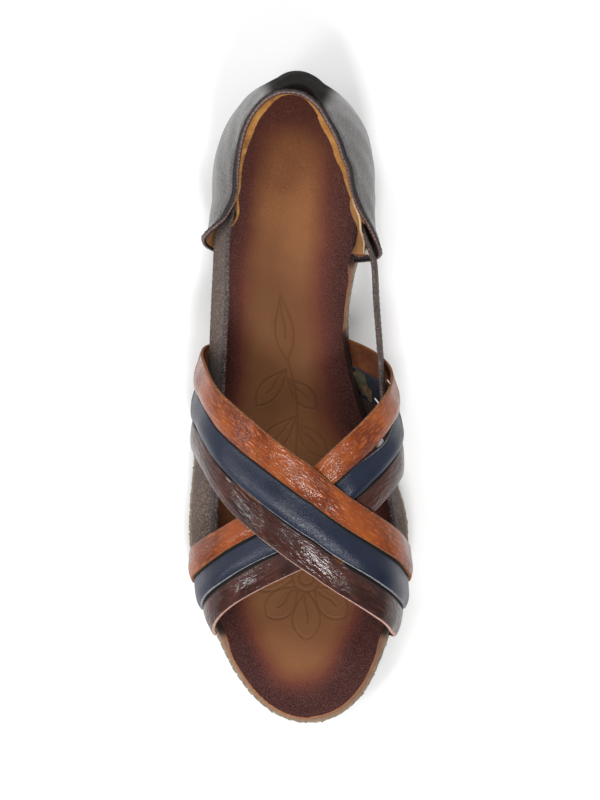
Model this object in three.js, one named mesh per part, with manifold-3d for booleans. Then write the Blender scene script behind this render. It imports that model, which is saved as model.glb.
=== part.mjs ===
// Open-toe flat for the right foot: a rubber unit sole, a leather footbed, two three-strap bands
// that cross over the instep, a low heel counter and an elastic gore down each side.
// Millimetres, +Z up. The toe points to -Y and the inner (medial) side of the foot is at +X.
// "along" is the distance forward from the back of the sole, and "side" is +1 medial or -1 lateral.
import * as THREE from "three";
import { mergeVertices } from "three/addons/utils/BufferGeometryUtils.js";
import Module from "manifold-3d";

// ---- driving dimensions ----
const SOLE_LENGTH = 252;
const SOLE_ROWS = 44; // loft rows from heel to toe
const SOLE_COLUMNS = 6; // spans across the flat of a slab
const HEEL_ROUND = { length: 40, power: 2.15 }; // superellipse that closes the heel end
const TOE_ROUND = { length: 60, power: 2.0 }; // superellipse that closes the toe end
const ROLL_WIDTH = 9; // how far the underside's rolled edge reaches in
const ROLL_HEIGHT = 7; // how high that roll climbs at most
const ROLL_SHARE = 0.6; // and at most this share of the local thickness
const TOP_EDGE_RADIUS = 1.6;
const PAD_DEPTH = 2.4; // heel pads stand this far below the tread
const PAD_BEVEL = 0.7;
const PAD_ROOT = 7; // how far a pad's prism runs up into the sole
const RECESS = { along: 93, x: -5, length: 12.8, width: 23, depth: 0.8, corner: 1.6 };
const SEAT_GAP = 0.3; // clearance between pieces that meet
const INSOLE_INSET = 2.8; // footbed edge, in from the sole's edge
const INSOLE_THICK = 3;
const RIM_INSET = INSOLE_INSET - SEAT_GAP; // the last's featherline, where the upper meets the sole
const GORE_THICK = 1.2;
const STRAP_THICK = 1.4;
const STRAP_BASE = GORE_THICK + SEAT_GAP; // inner face of the straps, out from the last
const STRAP_CLIMB = STRAP_THICK + SEAT_GAP; // how far the over band rises to cross the under band
const STRAP_SEAM = 0.4; // gap between neighbouring straps
const STRAP_TUCK = 0.8; // strap ends run this far past the featherline before they are trimmed
const STRAP_ROWS = 40;
const STRAP_COLUMNS = 3;
const CROSSING = { flat: 0.3, ramp: 0.22 }; // share of the half girth that the climb holds, then fades over
const JOIN_RADIUS = 3; // sewn spot where the two straps of one colour cross
const COUNTER_WALL = 2.2;
const COUNTER_ROWS = 44;
const COUNTER_COLUMNS = 7;
// Front edges of the counter, at the sole and at the top.
const COUNTER_FRONT = { medial: { foot: 70, corner: 65 }, lateral: { foot: 66, corner: 61 } };
const SIDE_SHARE = 0.68; // share of the half girth from the ridge down to the widest point
const FULLNESS = { medial: 2.3, lateral: 2.05 }; // superellipse powers of the last's two shoulders
const STEP = 1e-3; // finite step for slopes

// Plan outline of the sole: middle line and half width.
const OUTLINE = [
  { along: 0, centre: 1.0, half: 31.4 },
  { along: 40, centre: 0.2, half: 31.3 },
  { along: 60, centre: -1.3, half: 29.8 },
  { along: 76, centre: -2.8, half: 27.0 },
  { along: 92, centre: -4.1, half: 26.1 },
  { along: 106, centre: -4.6, half: 27.4 },
  { along: 122, centre: -4.0, half: 30.6 },
  { along: 138, centre: -2.9, half: 34.9 },
  { along: 154, centre: 0, half: 39.8 },
  { along: 168, centre: 1.8, half: 42.7 },
  { along: 180, centre: 2.3, half: 43.3 },
  { along: 192, centre: 2.9, half: 42.0 },
  { along: 204, centre: 3.6, half: 40.0 },
  { along: 214, centre: 3.9, half: 38.1 },
  { along: 226, centre: 4.4, half: 37.3 },
  { along: 236, centre: 5.2, half: 37.4 },
  { along: 252, centre: 6.2, half: 38.6 },
];

// Side profile of the sole: the tread's underside, with arch and toe spring, and the seat on top.
const PROFILE = [
  { along: 0, under: 2.4, seat: 21.0 },
  { along: 30, under: 2.4, seat: 20.0 },
  { along: 60, under: 2.4, seat: 18.2 },
  { along: 78, under: 3.4, seat: 16.6 },
  { along: 98, under: 4.4, seat: 14.7 },
  { along: 118, under: 3.2, seat: 13.0 },
  { along: 136, under: 1.0, seat: 11.6 },
  { along: 150, under: 0, seat: 10.6 },
  { along: 172, under: 0, seat: 9.8 },
  { along: 194, under: 0, seat: 9.9 },
  { along: 210, under: 0.7, seat: 10.6 },
  { along: 230, under: 3.3, seat: 12.8 },
  { along: 252, under: 8.0, seat: 16.2 },
];

// Last: height and place of the ridge, and how far out and how high each side bulges.
const LAST = [
  { along: 92, ridge: 2, rise: 80, medial: 34.5, medialLift: 24, lateral: 32.0, lateralLift: 18 },
  { along: 104, ridge: 2, rise: 73, medial: 36.1, medialLift: 24, lateral: 33.3, lateralLift: 18 },
  { along: 118, ridge: 3, rise: 65, medial: 36.8, medialLift: 24, lateral: 34.9, lateralLift: 16 },
  { along: 134, ridge: 4.5, rise: 57.5, medial: 38.7, medialLift: 22, lateral: 36.4, lateralLift: 14 },
  { along: 150, ridge: 6.5, rise: 50.5, medial: 40.4, medialLift: 18, lateral: 37.6, lateralLift: 12 },
  { along: 166, ridge: 8, rise: 44.5, medial: 42.0, medialLift: 14, lateral: 38.4, lateralLift: 10 },
  { along: 182, ridge: 8.5, rise: 39, medial: 43.6, medialLift: 12, lateral: 38.4, lateralLift: 9 },
  { along: 198, ridge: 8.5, rise: 34, medial: 41.8, medialLift: 10, lateral: 35.0, lateralLift: 8.5 },
  { along: 212, ridge: 8.5, rise: 30, medial: 38.9, medialLift: 9, lateral: 30.0, lateralLift: 8 },
  { along: 226, ridge: 8.5, rise: 27, medial: 34.6, medialLift: 8, lateral: 24.5, lateralLift: 7.5 },
];

// Where each band of straps starts and ends along the last, at places round the half girth:
// across is -1 at the lateral featherline, 0 on the ridge and 1 at the medial featherline.
const ROUTES = [
  { across: -1, overStart: 102, overEnd: 139, underStart: 186, underEnd: 215.8 },
  { across: -0.68, overStart: 106, overEnd: 143, underStart: 184, underEnd: 215.5 },
  { across: -0.45, overStart: 114.5, overEnd: 152, underStart: 178, underEnd: 208.5 },
  { across: -0.22, overStart: 128.5, overEnd: 173.5, underStart: 166, underEnd: 198.3 },
  { across: 0, overStart: 147.5, overEnd: 192.5, underStart: 151, underEnd: 187.5 },
  { across: 0.22, overStart: 164, overEnd: 204.5, underStart: 136, underEnd: 172 },
  { across: 0.45, overStart: 176.5, overEnd: 214, underStart: 122.5, underEnd: 158.5 },
  { across: 0.68, overStart: 183, overEnd: 217, underStart: 114, underEnd: 150.5 },
  { across: 1, overStart: 185, overEnd: 216.8, underStart: 100, underEnd: 138 },
];

// Straps of a band from the heel side to the toe side, with their leather and where they join.
const STRAPS = [
  { name: "straps_tan", joinAlong: 156, joinAcross: 0.01, color: 0x9a4a1c, roughness: 0.42 },
  { name: "straps_navy", joinAlong: 169.5, joinAcross: 0, color: 0x1e2a42, roughness: 0.38 },
  { name: "straps_brown", joinAlong: 183, joinAcross: -0.03, color: 0x42241a, roughness: 0.45 },
];

// Heel counter round the heel: around is 0 at the medial front, 0.5 at the back and 1 at the
// lateral front. Height of the collar, outward belly at half height, and outward lean at the top.
const COUNTER = [
  { around: 0, height: 22, belly: 3.2, lean: 7.6 },
  { around: 0.03, height: 26.5, belly: 3.5, lean: 3.1 },
  { around: 0.06, height: 31, belly: 4.0, lean: -1.8 },
  { around: 0.09, height: 36, belly: 4.4, lean: -5.4 },
  { around: 0.12, height: 41, belly: 4.1, lean: -7.7 },
  { around: 0.16, height: 45.5, belly: 3.9, lean: -9.1 },
  { around: 0.2, height: 49, belly: 4.4, lean: -10.7 },
  { around: 0.33, height: 54, belly: 4.5, lean: -10.5 },
  { around: 0.43, height: 55.5, belly: 4.6, lean: -7.3 },
  { around: 0.5, height: 56, belly: 5.4, lean: -4.6 },
  { around: 0.57, height: 55.5, belly: 3.7, lean: -4.0 },
  { around: 0.67, height: 54, belly: 3.1, lean: -5.5 },
  { around: 0.8, height: 49, belly: 3.6, lean: -7.7 },
  { around: 0.88, height: 41, belly: 3.9, lean: -7.9 },
  { around: 0.91, height: 36.3, belly: 3.8, lean: -7.4 },
  { around: 0.94, height: 31, belly: 4.0, lean: -5.2 },
  { around: 0.97, height: 26, belly: 3.3, lean: -1.7 },
  { around: 1, height: 21, belly: 2.4, lean: 4.6 },
];

// Elastic gores: middle of the band at its lower and upper edge, heights above the featherline,
// and how far the band bows outwards between them.
const GORES = {
  gore_medial: [
    { along: 57, lowX: 27.4, lowZ: 12, highX: 26.7, highZ: 25, bow: 0 },
    { along: 66, lowX: 29.7, lowZ: 12.5, highX: 30.1, highZ: 27, bow: 0 },
    { along: 85, lowX: 32.3, lowZ: 13, highX: 32.3, highZ: 28, bow: 0 },
    { along: 104, lowX: 33.4, lowZ: 14, highX: 33.2, highZ: 29, bow: 0 },
    { along: 122, lowX: 34.4, lowZ: 14, highX: 33.8, highZ: 30, bow: 0 },
    { along: 136, lowX: 35.7, lowZ: 10, highX: 34.4, highZ: 30, bow: 0.2 },
    { along: 150, lowX: 37.5, lowZ: 4, highX: 35.4, highZ: 28, bow: 0.8 },
    { along: 160, lowX: 40.3, lowZ: 0.4, highX: 36.9, highZ: 25, bow: 1.6 },
    { along: 168, lowX: 42.7, lowZ: 0.4, highX: 38.1, highZ: 23, bow: 1.7 },
    { along: 178, lowX: 43.7, lowZ: 0.4, highX: 39.6, highZ: 20, bow: 1.6 },
    { along: 188, lowX: 43.4, lowZ: 0.4, highX: 40.6, highZ: 16, bow: 1.0 },
  ],
  gore_lateral: [
    { along: 52, lowX: -28.6, lowZ: 13, highX: -24.6, highZ: 25.5, bow: 0 },
    { along: 60, lowX: -30.3, lowZ: 12, highX: -25.4, highZ: 26.2, bow: 0 },
    { along: 72, lowX: -31.0, lowZ: 12, highX: -25.0, highZ: 26.2, bow: 0 },
    { along: 85, lowX: -31.7, lowZ: 11, highX: -25.4, highZ: 25.5, bow: 0 },
    { along: 104, lowX: -32.5, lowZ: 9.5, highX: -26.3, highZ: 24.5, bow: 0.4 },
    { along: 122, lowX: -33.4, lowZ: 6, highX: -27.2, highZ: 24, bow: 1.2 },
    { along: 140, lowX: -36.3, lowZ: 0.6, highX: -28.2, highZ: 24, bow: 2.6 },
    { along: 158, lowX: -38.5, lowZ: 0.4, highX: -29.4, highZ: 23, bow: 3.0 },
    { along: 176, lowX: -39.3, lowZ: 0.4, highX: -29.8, highZ: 20, bow: 3.2 },
    { along: 190, lowX: -37.7, lowZ: 0.4, highX: -31.0, highZ: 15, bow: 1.8 },
  ],
};
const GORE_ROWS = 36;
const GORE_COLUMNS = 4;

// Heel pads of the underside. A leaf runs from its front tip round its inner belly to its rear tip
// and back along its outer edge: two cubic curves, each with two handles.
const LEAF_PADS = [
  {
    front: { along: 74, x: 16.4 },
    inner: [{ along: 46, x: -3.6 }, { along: 44, x: -3.6 }],
    rear: { along: 15.5, x: 19.8 },
    outer: [{ along: 30, x: 27.0 }, { along: 58, x: 21.6 }],
  },
  {
    front: { along: 76, x: -22.6 },
    inner: [{ along: 46, x: 1.0 }, { along: 44, x: 1.0 }],
    rear: { along: 15, x: -19.4 },
    outer: [{ along: 30, x: -26.6 }, { along: 58, x: -25.4 }],
  },
];
const FAN_PAD = { apex: { along: 28.9, x: 0.2 }, corner: { along: 11, x: 15.6 }, belly: 1.6 };

const wasm = await Module();
wasm.setup();

// ---- helpers ----

// Smooth curve through one column of a table, with each row's slope taken across its neighbours.
function track(rows, name, key = "along") {
  const at = rows.map((row) => row[key]);
  const value = rows.map((row) => row[name]);
  const last = at.length - 1;
  const chord = (i, j) => (value[j] - value[i]) / (at[j] - at[i]);
  const slope = at.map((_, i) => (i > 0 && i < last ? chord(i - 1, i + 1) : 0));
  slope[0] = (3 * chord(0, 1) - slope[1]) / 2;
  slope[last] = (3 * chord(last - 1, last) - slope[last - 1]) / 2;
  return (place) => {
    const t = THREE.MathUtils.clamp(place, at[0], at[last]);
    let i = 0;
    while (i < last - 1 && t > at[i + 1]) {
      i += 1;
    }
    const span = at[i + 1] - at[i];
    const u = (t - at[i]) / span;
    const start = (1 + 2 * u) * (1 - u) ** 2 * value[i] + u * (1 - u) ** 2 * span * slope[i];
    const end = u * u * (3 - 2 * u) * value[i + 1] + u * u * (u - 1) * span * slope[i + 1];
    return start + end;
  };
}

function tracksOf(rows, key = "along") {
  const names = Object.keys(rows[0]).filter((name) => name !== key);
  return Object.fromEntries(names.map((name) => [name, track(rows, name, key)]));
}

const point = (x, along, z) => new THREE.Vector3(x, -along, z);

// Closed geometry from points and triangles, with its faces turned outwards.
function closedGeometry(points, triangles) {
  const geometry = new THREE.BufferGeometry();
  const flat = points.flatMap((p) => [p.x, p.y, p.z]);
  geometry.setAttribute("position", new THREE.Float32BufferAttribute(flat, 3));
  geometry.setIndex(triangles.flat());
  const merged = mergeVertices(geometry, 1e-4);
  const index = merged.index.array;
  const kept = [];
  for (let i = 0; i < index.length; i += 3) {
    const [a, b, c] = [index[i], index[i + 1], index[i + 2]];
    if (a !== b && b !== c && c !== a) {
      kept.push(a, b, c);
    }
  }
  if (signedVolume(merged, kept) < 0) {
    kept.reverse();
  }
  merged.setIndex(kept);
  return merged;
}

function signedVolume(geometry, index) {
  const corner = [0, 1, 2].map(() => new THREE.Vector3());
  let total = 0;
  for (let i = 0; i < index.length; i += 3) {
    corner.forEach((c, k) => c.fromBufferAttribute(geometry.attributes.position, index[i + k]));
    total += corner[0].dot(corner[1].cross(corner[2]));
  }
  return total / 6;
}

// Skin over a list of loops with the same number of points. End loops that are folded flat close it.
function loft(loops) {
  const size = loops[0].length;
  const triangles = [];
  for (let i = 0; i + 1 < loops.length; i += 1) {
    for (let j = 0; j < size; j += 1) {
      const next = (j + 1) % size;
      const [a, b] = [i * size + j, i * size + next];
      triangles.push([a, b, b + size], [a, b + size, a + size]);
    }
  }
  return closedGeometry(loops.flat(), triangles);
}

// Thin closed shell between two faces, each a function of its row and column.
function panel(rows, columns, inner, outer) {
  const loops = [];
  for (let i = 0; i <= rows; i += 1) {
    const loop = [];
    for (let j = 0; j <= columns; j += 1) {
      loop.push(outer(i, j));
    }
    for (let j = columns; j >= 0; j -= 1) {
      loop.push(inner(i, j));
    }
    loops.push(loop);
  }
  const size = loops[0].length;
  const triangles = [];
  for (let i = 0; i < rows; i += 1) {
    for (let j = 0; j < size; j += 1) {
      const next = (j + 1) % size;
      const [a, b] = [i * size + j, i * size + next];
      triangles.push([a, b, b + size], [a, b + size, a + size]);
    }
  }
  const lastLoop = rows * size;
  for (let j = 0; j < columns; j += 1) {
    const [a, b, c, d] = [j, j + 1, size - 2 - j, size - 1 - j];
    triangles.push([a, c, b], [a, d, c]);
    triangles.push([a + lastLoop, b + lastLoop, c + lastLoop], [a + lastLoop, c + lastLoop, d + lastLoop]);
  }
  return closedGeometry(loops.flat(), triangles);
}

function toManifold(geometry) {
  const bare = geometry.clone();
  bare.deleteAttribute("normal");
  bare.deleteAttribute("uv");
  const merged = mergeVertices(bare, 1e-4);
  return new wasm.Manifold(new wasm.Mesh({
    numProp: 3,
    vertProperties: Float32Array.from(merged.attributes.position.array),
    triVerts: Uint32Array.from(merged.index.array),
  }));
}

function toGeometry(manifold) {
  const mesh = manifold.getMesh();
  const geometry = new THREE.BufferGeometry();
  geometry.setAttribute("position", new THREE.Float32BufferAttribute(mesh.vertProperties, 3));
  geometry.setIndex(Array.from(mesh.triVerts));
  return geometry;
}

function namedMesh(name, geometry, color, roughness) {
  geometry.computeVertexNormals();
  const material = new THREE.MeshStandardMaterial({ color, roughness, metalness: 0 });
  const mesh = new THREE.Mesh(geometry, material);
  mesh.name = name;
  return mesh;
}

// ---- plan outline and side profile ----

const outline = tracksOf(OUTLINE);
const profile = tracksOf(PROFILE);
const under = (along) => Math.max(0, profile.under(along));
const seat = profile.seat;
const featherline = (along) => seat(along) + SEAT_GAP;

function endRound(distance, { length, power }) {
  const share = THREE.MathUtils.clamp(1 - distance / length, 0, 1);
  return (1 - share ** power) ** (1 / power);
}

function edgeX(along, side) {
  const ends = endRound(along, HEEL_ROUND) * endRound(SOLE_LENGTH - along, TOE_ROUND);
  return outline.centre(along) + side * outline.half(along) * ends;
}

// Closed plan loop, from the back of the heel up the medial side to the toe and back.
// Each stop has its outward normal.
function planLoop() {
  const stops = [];
  for (let i = 0; i < 2 * SOLE_ROWS; i += 1) {
    const along = (SOLE_LENGTH * (1 - Math.cos((Math.PI * i) / SOLE_ROWS))) / 2;
    stops.push({ along, x: edgeX(along, i <= SOLE_ROWS ? 1 : -1) });
  }
  return stops.map((stop, i) => {
    const before = stops.at(i - 1);
    const after = stops[(i + 1) % stops.length];
    const [dx, da] = [after.x - before.x, after.along - before.along];
    const length = Math.hypot(dx, da);
    return { ...stop, outX: da / length, outAlong: -dx / length };
  });
}

const PLAN = planLoop();

function insetStop(stop, inset, height) {
  const along = stop.along - stop.outAlong * inset;
  return point(stop.x - stop.outX * inset, along, height(along));
}

// Solid slab of the sole's outline: side levels from the bottom up, each with its inset and height.
function slab(levels) {
  const loops = [];
  for (let row = 0; row <= SOLE_ROWS; row += 1) {
    const medial = PLAN[row];
    const lateral = PLAN[(2 * SOLE_ROWS - row) % (2 * SOLE_ROWS)];
    const side = (stop) => levels.map(({ inset, height }) => insetStop(stop, inset, height));
    const across = (level, from, to) => {
      const [a, b] = [from, to].map((stop) => insetStop(stop, level.inset, level.height));
      const spans = Array.from({ length: SOLE_COLUMNS - 1 }, (_, j) => (j + 1) / SOLE_COLUMNS);
      return spans.map((share) => {
        const middle = a.clone().lerp(b, share);
        middle.z = level.height(-middle.y);
        return middle;
      });
    };
    loops.push([
      ...across(levels[0], lateral, medial),
      ...side(medial),
      ...across(levels.at(-1), medial, lateral),
      ...side(lateral).reverse(),
    ]);
  }
  return loft(loops);
}

// ---- sole ----

// Side of the sole from the tread's edge, up the roll to the widest line, over the top edge.
// grow moves the whole side outwards, for trimming what rests on the sole.
function soleLevels(grow) {
  const thickness = (along) => seat(along) - under(along);
  const climb = (along) => Math.min(ROLL_HEIGHT, ROLL_SHARE * thickness(along));
  const rollAngles = [0, 30, 60, 90].map(THREE.MathUtils.degToRad);
  const roll = rollAngles.map((angle) => ({
    inset: ROLL_WIDTH * (1 - Math.sin(angle)) - grow,
    height: (along) => under(along) + climb(along) * (1 - Math.cos(angle)),
  }));
  const edgeAngles = [0, 45, 90].map(THREE.MathUtils.degToRad);
  const edge = edgeAngles.map((angle) => ({
    inset: TOP_EDGE_RADIUS * (1 - Math.cos(angle)) - grow,
    height: (along) => seat(along) + grow - TOP_EDGE_RADIUS * (1 - Math.sin(angle)),
  }));
  return [...roll, ...edge];
}

// Pads follow the arch where the tread behind them lifts off the ground.
const padRise = (along) => Math.max(0, under(along) - PAD_DEPTH);

function padSolid(shape) {
  const geometry = new THREE.ExtrudeGeometry(shape, {
    depth: PAD_ROOT,
    curveSegments: 10,
    bevelThickness: PAD_BEVEL,
    bevelSize: PAD_BEVEL,
    bevelOffset: -PAD_BEVEL,
    bevelSegments: 1,
  });
  geometry.translate(0, 0, PAD_BEVEL);
  const position = geometry.attributes.position;
  for (let i = 0; i < position.count; i += 1) {
    const rise = padRise(-position.getY(i));
    position.setZ(i, position.getZ(i) + rise);
  }
  return toManifold(geometry);
}

function leafShape({ front, inner, rear, outer }) {
  const shape = new THREE.Shape();
  const flat = (spots) => spots.flatMap((spot) => [spot.x, -spot.along]);
  shape.moveTo(front.x, -front.along);
  shape.bezierCurveTo(...flat([...inner, rear]));
  shape.bezierCurveTo(...flat([...outer, front]));
  return shape;
}

function fanShape({ apex, corner, belly }) {
  const shape = new THREE.Shape();
  shape.moveTo(apex.x, -apex.along);
  shape.lineTo(-corner.x, -corner.along);
  shape.quadraticCurveTo(apex.x, belly, corner.x, -corner.along);
  shape.closePath();
  return shape;
}

function recessSolid() {
  const shape = new THREE.Shape();
  const [halfWidth, halfLength, r] = [RECESS.width / 2, RECESS.length / 2, RECESS.corner];
  const corners = [[1, 1, 0], [-1, 1, 1], [-1, -1, 2], [1, -1, 3]];
  for (const [sx, sy, quarter] of corners) {
    const x = RECESS.x + sx * (halfWidth - r);
    const y = -RECESS.along + sy * (halfLength - r);
    shape.absarc(x, y, r, (quarter * Math.PI) / 2, ((quarter + 1) * Math.PI) / 2);
  }
  const geometry = new THREE.ExtrudeGeometry(shape, { depth: 1, bevelEnabled: false, curveSegments: 4 });
  const position = geometry.attributes.position;
  for (let i = 0; i < position.count; i += 1) {
    const tread = under(-position.getY(i));
    const ceiling = position.getZ(i) > 0.5;
    position.setZ(i, ceiling ? tread + RECESS.depth : tread - RECESS.depth);
  }
  return toManifold(geometry);
}

function outsoleGeometry() {
  const pads = [...LEAF_PADS.map(leafShape), fanShape(FAN_PAD)].map(padSolid);
  const body = pads.reduce((sum, pad) => sum.add(pad), toManifold(slab(soleLevels(0))));
  return toGeometry(body.subtract(recessSolid()));
}

function insoleGeometry() {
  const bottom = featherline;
  const top = (along) => featherline(along) + INSOLE_THICK;
  return slab([
    { inset: INSOLE_INSET, height: bottom },
    { inset: INSOLE_INSET, height: (along) => top(along) - 0.8 },
    { inset: INSOLE_INSET + 0.8, height: top },
  ]);
}

// ---- last and straps ----

const last = tracksOf(LAST);
const route = tracksOf(ROUTES, "across");
const featherX = (along, side) => edgeX(along, side) - side * RIM_INSET;

// Point on the last. across runs from -1, the lateral featherline, over the ridge to 1.
function onLast(along, across) {
  const side = across < 0 ? -1 : 1;
  const name = side < 0 ? "lateral" : "medial";
  const bulge = side * last[name](along);
  const lift = last[`${name}Lift`](along);
  const share = Math.abs(across);
  if (share > SIDE_SHARE) {
    const down = (share - SIDE_SHARE) / (1 - SIDE_SHARE);
    const x = bulge - (bulge - featherX(along, side)) * down * down;
    return point(x, along, featherline(along) + lift * (1 - down));
  }
  const angle = (Math.PI / 2) * (1 - share / SIDE_SHARE);
  const [c, s] = [Math.cos(angle), Math.sin(angle)];
  const power = FULLNESS[name];
  const radius = (c ** power + s ** power) ** (-1 / power);
  const ridge = last.ridge(along);
  const x = ridge + (bulge - ridge) * radius * c;
  return point(x, along, featherline(along) + lift + (last.rise(along) - lift) * radius * s);
}

function outwardOnLast(along, across) {
  const girth = onLast(along, across + STEP).sub(onLast(along, across - STEP));
  const forward = onLast(along + STEP, across).sub(onLast(along - STEP, across));
  return forward.cross(girth).normalize();
}

const offLast = (along, across, distance) =>
  onLast(along, across).addScaledVector(outwardOnLast(along, across), distance);

function climb(across) {
  const share = THREE.MathUtils.clamp((Math.abs(across) - CROSSING.flat) / CROSSING.ramp, 0, 1);
  return STRAP_CLIMB * (1 - share * share * (3 - 2 * share));
}

// One strap: the given third of a band, from featherline to featherline.
function strapSolid(band, third) {
  const spot = (i, j) => {
    const way = -1 + (2 * i) / STRAP_ROWS;
    const start = route[`${band}Start`](way);
    const width = (route[`${band}End`](way) - start) / STRAPS.length;
    const rear = start + width * third + STRAP_SEAM / 2;
    const along = rear + ((width - STRAP_SEAM) * j) / STRAP_COLUMNS;
    const lift = last[way < 0 ? "lateralLift" : "medialLift"](along);
    const across = way * (1 + ((1 - SIDE_SHARE) * STRAP_TUCK) / lift);
    const base = STRAP_BASE + (band === "over" ? climb(way) : 0);
    return { along, across, base };
  };
  const face = (height) => (i, j) => {
    const { along, across, base } = spot(i, j);
    return offLast(along, across, base + height);
  };
  return toManifold(panel(STRAP_ROWS, STRAP_COLUMNS, face(0), face(STRAP_THICK)));
}

function joinSolid({ joinAlong, joinAcross }) {
  const out = outwardOnLast(joinAlong, joinAcross);
  const reach = STRAP_BASE + STRAP_THICK + SEAT_GAP / 2; // half way between the two layers
  const cylinder = new THREE.CylinderGeometry(JOIN_RADIUS, JOIN_RADIUS, STRAP_THICK, 16);
  cylinder.applyQuaternion(new THREE.Quaternion().setFromUnitVectors(new THREE.Vector3(0, 1, 0), out));
  const centre = offLast(joinAlong, joinAcross, reach);
  cylinder.translate(centre.x, centre.y, centre.z);
  return toManifold(cylinder);
}

function strapsMesh(strap, third, trim) {
  const both = strapSolid("over", third).add(strapSolid("under", third)).add(joinSolid(strap));
  return namedMesh(strap.name, toGeometry(both.subtract(trim)), strap.color, strap.roughness);
}

// ---- heel counter ----

const counter = tracksOf(COUNTER, "around");

// Inner face of the counter: a place round the heel and a share of the collar's height there.
function onCounter(around, share) {
  const { foot, corner } = COUNTER_FRONT[around <= 0.5 ? "medial" : "lateral"];
  const front = THREE.MathUtils.lerp(foot, corner, share);
  const stopAt = (place) => {
    const along = front * (1 - Math.sin(Math.PI * place));
    return { along, x: edgeX(along, place <= 0.5 ? 1 : -1) };
  };
  const stop = stopAt(around);
  const [before, after] = [stopAt(Math.max(0, around - 0.01)), stopAt(Math.min(1, around + 0.01))];
  const length = Math.hypot(after.x - before.x, after.along - before.along);
  const outX = -(after.along - before.along) / length;
  const outAlong = (after.x - before.x) / length;
  const bulge = 4 * counter.belly(around) * share * (1 - share) + counter.lean(around) * share;
  const out = bulge - RIM_INSET;
  const along = stop.along + outAlong * out;
  const rise = counter.height(around) * share;
  return point(stop.x + outX * out, along, featherline(Math.max(0, along)) + rise);
}

function counterGeometry() {
  const place = (i, j) => [i / COUNTER_ROWS, j / COUNTER_COLUMNS];
  const inner = (i, j) => onCounter(...place(i, j));
  const outer = (i, j) => {
    const [around, share] = place(i, j);
    const round = onCounter(Math.min(1, around + STEP), share).sub(onCounter(Math.max(0, around - STEP), share));
    const up = onCounter(around, Math.min(1, share + STEP)).sub(onCounter(around, Math.max(0, share - STEP)));
    const out = round.cross(up).normalize();
    if (j === 0) {
      out.setZ(0).normalize(); // the foot stays level on the sole
    }
    return inner(i, j).addScaledVector(out, COUNTER_WALL);
  };
  return panel(COUNTER_ROWS, COUNTER_COLUMNS, inner, outer);
}

// ---- elastic gores ----

function goreGeometry(rows) {
  const gore = tracksOf(rows);
  const [start, end] = [rows[0].along, rows.at(-1).along];
  const outwards = Math.sign(rows[0].lowX);
  const spot = (i, j, out) => {
    const along = start + ((end - start) * i) / GORE_ROWS;
    const low = new THREE.Vector2(gore.lowX(along), gore.lowZ(along));
    const high = new THREE.Vector2(gore.highX(along), gore.highZ(along));
    const up = high.clone().sub(low).normalize();
    const share = j / GORE_COLUMNS;
    const away = out + 4 * gore.bow(along) * share * (1 - share);
    const middle = low.lerp(high, share);
    const x = middle.x + outwards * up.y * away;
    const z = middle.y - outwards * up.x * away;
    return point(x, along, featherline(along) + Math.max(SEAT_GAP / 3, z));
  };
  const inner = (i, j) => spot(i, j, -GORE_THICK / 2);
  const outer = (i, j) => spot(i, j, GORE_THICK / 2);
  return panel(GORE_ROWS, GORE_COLUMNS, inner, outer);
}

// ---- assembly ----

const shoe = new THREE.Group();
const soleTrim = toManifold(slab(soleLevels(SEAT_GAP)));
shoe.add(namedMesh("outsole", outsoleGeometry(), 0x5e574e, 0.75));
shoe.add(namedMesh("insole", insoleGeometry(), 0x7c4a2c, 0.5));
shoe.add(...STRAPS.map((strap, third) => strapsMesh(strap, third, soleTrim)));
shoe.add(namedMesh("counter", counterGeometry(), 0x3a2a24, 0.45));
for (const [name, rows] of Object.entries(GORES)) {
  shoe.add(namedMesh(name, goreGeometry(rows), 0x5c5048, 0.9));
}

// The origin is under the middle of the whole shoe's box.
const box = new THREE.Box3().setFromObject(shoe);
const middle = box.getCenter(new THREE.Vector3());
shoe.position.set(-middle.x, -middle.y, -box.min.z);

export default shoe;
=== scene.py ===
"""Looks of the open-toe flat, a right shoe: every CAD node is replaced by a finer piece of the same form.

Lengths are in millimetres until the meshes are made. "along" is the distance forward from the back of
the sole, x is positive towards the medial side, z is up, and side is +1 medial or -1 lateral.
"""

import math
import bmesh
import bpy
import numpy as np
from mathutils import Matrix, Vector

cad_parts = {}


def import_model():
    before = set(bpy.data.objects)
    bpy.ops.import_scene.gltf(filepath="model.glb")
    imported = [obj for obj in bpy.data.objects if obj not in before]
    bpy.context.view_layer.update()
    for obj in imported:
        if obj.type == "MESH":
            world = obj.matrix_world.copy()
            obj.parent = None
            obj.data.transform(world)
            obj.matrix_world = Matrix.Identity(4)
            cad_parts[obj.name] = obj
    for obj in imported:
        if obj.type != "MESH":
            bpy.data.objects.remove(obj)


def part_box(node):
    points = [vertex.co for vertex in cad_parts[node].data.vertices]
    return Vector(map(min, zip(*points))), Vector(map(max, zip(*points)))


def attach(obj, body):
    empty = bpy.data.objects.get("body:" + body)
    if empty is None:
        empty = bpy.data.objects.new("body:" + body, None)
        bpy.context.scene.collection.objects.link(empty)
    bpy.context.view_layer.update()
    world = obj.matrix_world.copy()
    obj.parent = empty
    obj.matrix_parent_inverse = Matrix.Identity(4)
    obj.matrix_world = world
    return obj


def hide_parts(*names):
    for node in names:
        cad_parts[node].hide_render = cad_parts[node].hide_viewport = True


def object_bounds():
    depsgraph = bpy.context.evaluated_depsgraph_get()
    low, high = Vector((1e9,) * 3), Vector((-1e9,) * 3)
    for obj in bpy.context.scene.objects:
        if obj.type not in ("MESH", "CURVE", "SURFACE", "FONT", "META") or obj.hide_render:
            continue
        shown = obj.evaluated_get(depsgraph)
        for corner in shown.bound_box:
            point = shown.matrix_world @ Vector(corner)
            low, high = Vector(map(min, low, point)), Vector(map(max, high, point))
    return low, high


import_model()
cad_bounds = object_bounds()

MM = 0.001
TURN = 2 * math.pi


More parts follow.
